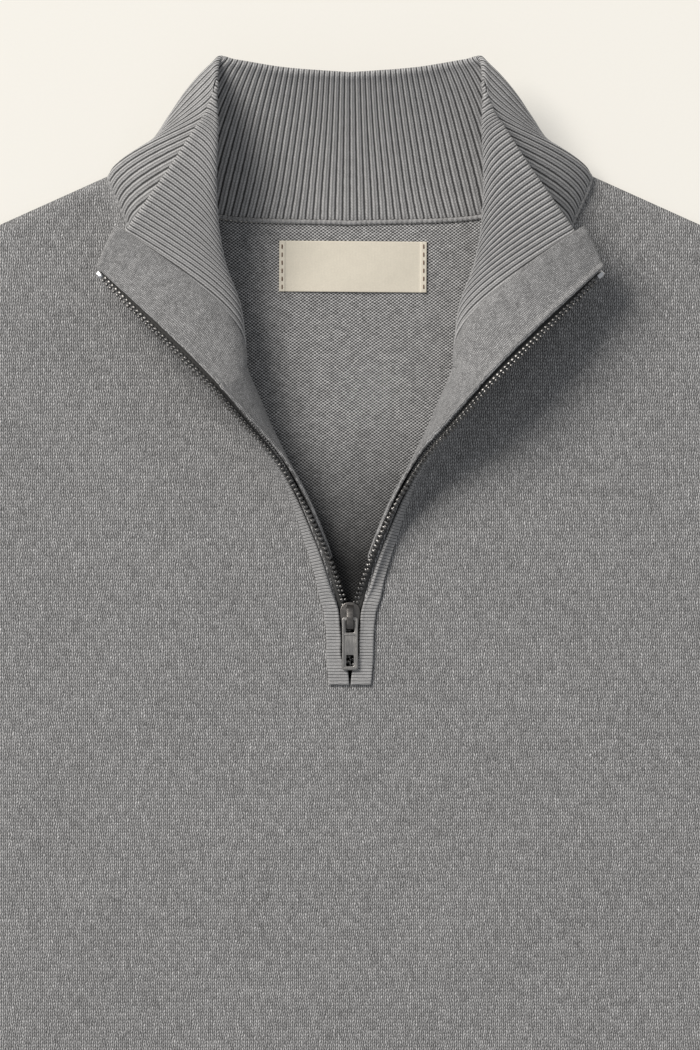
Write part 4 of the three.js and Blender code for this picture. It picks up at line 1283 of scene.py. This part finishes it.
# %% Slider
SLIDER_Y, SLIDER_LENGTH, SLIDER_HALF, SLIDER_TAIL, PLATE = -180.6, 11.0, 4.1, 3.2, 0.9
SLOT_LOW, SLOT_HIGH = 3.4, 6.4
SLIDER_TOP = SLOT_HIGH + PLATE
slider_end = SLIDER_LENGTH / 2
slider_outline = round_corners([
    (-SLIDER_TAIL, -slider_end), (SLIDER_TAIL, -slider_end), (SLIDER_HALF, 0),
    (SLIDER_HALF, slider_end - 2.2), (1.9, slider_end), (-1.9, slider_end),
    (-SLIDER_HALF, slider_end - 2.2), (-SLIDER_HALF, 0),
], 1.6)
crown_outline = round_corners([
    (-186.4, -0.2), (-186.3, 1.9), (-184.6, 3.1), (-181, 3.1), (-177.6, 1.6), (-176, -0.2),
    (-177.2, -0.2), (-178.4, 1), (-181.2, 2.2), (-184.2, 2.2), (-185.3, 1.4), (-185.4, -0.2),
], 0.5)
plate = plate_mesh("slider_plate", [slider_outline], PLATE, 0.32)
crown = plate_mesh("slider_crown", [crown_outline], 2.8, 0.28)
post = plate_mesh("slider_post", [box_outline(0.6, 1.5, -1.5, 0.3)], 3.2, 0.1)
slider = join_plates("slider_body", [
    (plate, (0, SLIDER_Y, SLOT_LOW - PLATE / 2), False),
    (plate, (0, SLIDER_Y, SLOT_HIGH + PLATE / 2), False),
    (post, (0, SLIDER_Y + slider_end - 2.4, (SLOT_LOW + SLOT_HIGH) / 2), False),
    (crown, (0, 0, SLIDER_TOP), True),
], SLIDER_METAL)
dress(slider, ["zip_slider"])

# %% Pull tab
PIVOT_Y, PIVOT_Z = -182.0, SLIDER_TOP + 1.15
PULL_HALF, PULL_LENGTH, PULL_WALL, PULL_NOSE = 3.3, 21.0, 1.1, 0.7
pull_outline = box_outline(PULL_HALF, PULL_NOSE, -PULL_LENGTH, 1.2)
window, slot = box_outline(1.8, -0.6, -5.6), box_outline(1.6, -14.8, -19.4)
tab = plate_mesh("pull_tab", [pull_outline, window, slot], PULL_WALL - 0.25, 0.2)
rim = plate_mesh("pull_rim", [box_outline(0.5, 0, -20.2, 0.4)], 0.7, 0.22)
bar = plate_mesh("pull_bar", [box_outline(2.7, 0.45, -0.45, 0.4)], 0.6, 0.2)
pull = join_plates("pull_tab", [
    (tab, (0, PIVOT_Y, PIVOT_Z - 0.12), False),
    (rim, (-PULL_HALF + 0.55, PIVOT_Y, PIVOT_Z + 0.2), False),
    (rim, (PULL_HALF - 0.55, PIVOT_Y, PIVOT_Z + 0.2), False),
    (bar, (0, PIVOT_Y - PULL_LENGTH + 0.75, PIVOT_Z + 0.2), False),
    (bar, (0, PIVOT_Y - 6.4, PIVOT_Z + 0.2), False),
], PULL_METAL)
dress(pull, ["zip_pull"], PULL_BODY)

# %% Top stops
stop_end = collar_points(np.array([1.0]), np.array([1.0]))
stop_below = collar_points(np.array([1.0]), np.array([0.9]))
stop_way = unit(stop_end - stop_below)[0]
stop_across = unit(np.cross(stop_way, [0, 0, 1])[None])[0]
stop_place = stop_end[0] - stop_way * 0.5
for side, sign in (("left", 1), ("right", -1)):
    flip = np.array([sign, 1, 1])
    frames = np.stack([stop_across, stop_way, np.cross(stop_across, stop_way)])[None] * flip
    stop = blocks(f"top_stop_{side}", (stop_place * flip)[None], frames,
                  np.array([[1.25, 1.75, 1.05]]), STOP_METAL)
    dress(stop, [f"zip_stop_{side}"])

# %% [markdown]
# The label is a strip of satin ribbon with its ends folded under, sewn down across
# each end with a few brown stitches.

# %% Neck label
LABEL_X, LABEL_Y, LABEL_WIDTH, LABEL_HEIGHT, LABEL_TILT = 1.2, -37.5, 60.6, 20.9, -0.008
LABEL_CREAM = (0.71, 0.655, 0.545)
LABEL_WALL = 0.5
LABEL_FOLD = 2.6
LABEL_Z = JERSEY + 0.45


def ribbon(name):
    """Satin ribbon: fine threads one way, finer ones across, and slight clouds."""
    shader = Shader(name)
    flat, u, v = shader.flat_place(0.12 * MM, 700)
    threads = shader.wave(shader.math("DIVIDE", v, 0.42 * MM))
    weft = shader.wave(shader.math("DIVIDE", u, 0.6 * MM))
    height = shader.math("MULTIPLY", shader.spread(threads, 0, 1, 0.3, 1),
                         shader.spread(weft, 0, 1, 0.75, 1))
    yarn = heather(shader, flat, 1.0, 0.05)
    # Painted shade between the threads and a little painted light on them.
    shade = shader.math("MULTIPLY", yarn, shader.spread(height, 0.2, 1, 0.86, 1.05))
    return shader.finish(LABEL_CREAM, shade, height, 0.08 * MM, 0.62, sheen=0.1)


def sewing_thread(name, tint):
    shader = Shader(name)
    place = shader.add("TexCoord", {}).outputs["Object"]
    grain = shader.noise(place, 2600, 3.0, 0.7)
    shade = shader.spread(grain, 0.3, 0.7, 0.75, 1.25)
    return shader.finish(tint, shade, grain, 0.08 * MM, 0.7, sheen=0.1)


def label_grid():
    x = np.concatenate([[0, 0.1, 0.3], np.linspace(0.8, LABEL_FOLD - 0.3, 6),
                        [LABEL_FOLD - 0.1, LABEL_FOLD + 0.15], np.linspace(3.4, 30.3, 34)])
    x = np.unique(np.round(np.concatenate([x, LABEL_WIDTH - x]), 4)) - LABEL_WIDTH / 2
    y = np.concatenate([[0, 0.1, 0.3], np.linspace(0.8, LABEL_HEIGHT - 0.8, 24),
                        LABEL_HEIGHT - np.array([0.3, 0.1, 0])]) - LABEL_HEIGHT / 2
    gx, gy = np.meshgrid(x[::-1], y[::-1])
    from_end = LABEL_WIDTH / 2 - np.abs(gx)
    sag = 0.35 * np.sin(gx / 9.0 + 0.6) * np.cos(gy / 7.0) + 0.5 * (1 - (gx / 30.3) ** 2)
    px = LABEL_X + gx * math.cos(LABEL_TILT) - gy * math.sin(LABEL_TILT)
    py = LABEL_Y + gx * math.sin(LABEL_TILT) + gy * math.cos(LABEL_TILT)
    points = np.stack([px, py, LABEL_Z + sag * ease(from_end / 6)], axis=-1)
    half = LABEL_WALL / 2 * edges_rounded(points, LABEL_WALL / 2, 1, 1, 1, 1)
    folded = 0.3 * ease((LABEL_FOLD - from_end) / 0.25)
    return cloth_grid(points, np.stack([gx, gy], axis=-1), half + folded, half)


label_grids = [label_grid()]
label = cloth_wall("label_ribbon", label_grids, [ribbon("cream_ribbon")])
dress(label, ["neck_label"])

stitch_places = np.array([(end * (LABEL_WIDTH / 2 - 1.25) + LABEL_X, LABEL_Y - 8.3 + 3.3 * k,
                           LABEL_Z + 0.55) for end in (-1, 1) for k in range(6)])
stitches = blocks("label_stitches", stitch_places, np.tile(np.eye(3), (12, 1, 1)),
                  np.tile([0.26, 0.95, 0.2], (12, 1)),
                  sewing_thread("brown_thread", (0.13, 0.07, 0.045)))
dress(stitches, [])

# %% [markdown]
# The table is a plain warm white that glows a little, like a light table, so the shadows
# on it stay faint. One large soft light stands at the upper left, as in the photograph,
# and a pale sky fills the shadows.

# %% Table and light
LIGHT_PLACE = (-4.2, 4.05, 5.5)
LIGHT_POWER = 695.0
LIGHT_SIZE = 3.6
SKY = (0.92, 0.95, 1.0, 1.0)
SKY_STRENGTH = 0.38
TABLE_REACH = 12.0
TABLE_TINT = (0.876, 0.847, 0.782)
TABLE_GLOW = 0.5
TABLE_GAP = 0.0006
WINDOW_TINT = (1.0, 0.965, 0.92)


def table_paper():
    shader = Shader("warm_white_table")
    place = shader.add("TexCoord", {}).outputs["Object"]
    grain = shader.noise(place, 900, 3.0)
    shade = shader.spread(grain, 0.3, 0.7, 0.992, 1.008)
    shader.surface.inputs["Emission Color"].default_value = (*TABLE_TINT, 1.0)
    shader.surface.inputs["Emission Strength"].default_value = TABLE_GLOW
    tint = [value * TABLE_GLOW for value in TABLE_TINT]
    return shader.finish(tint, shade, grain, 0.02 * MM, 0.9, sheen=0.0)


corners = np.array([(-1, -1, 0), (1, -1, 0), (1, 1, 0), (-1, 1, 0)]) * TABLE_REACH
floor = new_piece("table_top", corners, np.array([[0, 1, 2, 3]]), corners[:, :2], [table_paper()])
floor.location.z = -TABLE_GAP
floor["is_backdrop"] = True

light_data = bpy.data.lights.new("window_light", "AREA")
light_data.size = LIGHT_SIZE
light_data.energy = LIGHT_POWER
light_data.color = WINDOW_TINT
light = bpy.data.objects.new("window_light", light_data)
light.location = LIGHT_PLACE
towards = camera.location.copy()
towards.z = 0
light.rotation_euler = (light.location - towards).to_track_quat("Z", "Y").to_euler()
bpy.context.scene.collection.objects.link(light)

world = bpy.data.worlds.new("pale_sky")
bpy.context.scene.world = world
world.use_nodes = True
world.node_tree.nodes["Background"].inputs["Color"].default_value = SKY
world.node_tree.nodes["Background"].inputs["Strength"].default_value = SKY_STRENGTH
bpy.context.scene.view_settings.view_transform = "Standard"

# %% Size of the dressed sweater
new_low, new_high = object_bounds()
sizes = {"solids": [list(cad_low), list(cad_high)], "dressed": [list(new_low), list(new_high)]}
print("dressed from", tuple(new_low), "to", tuple(new_high))
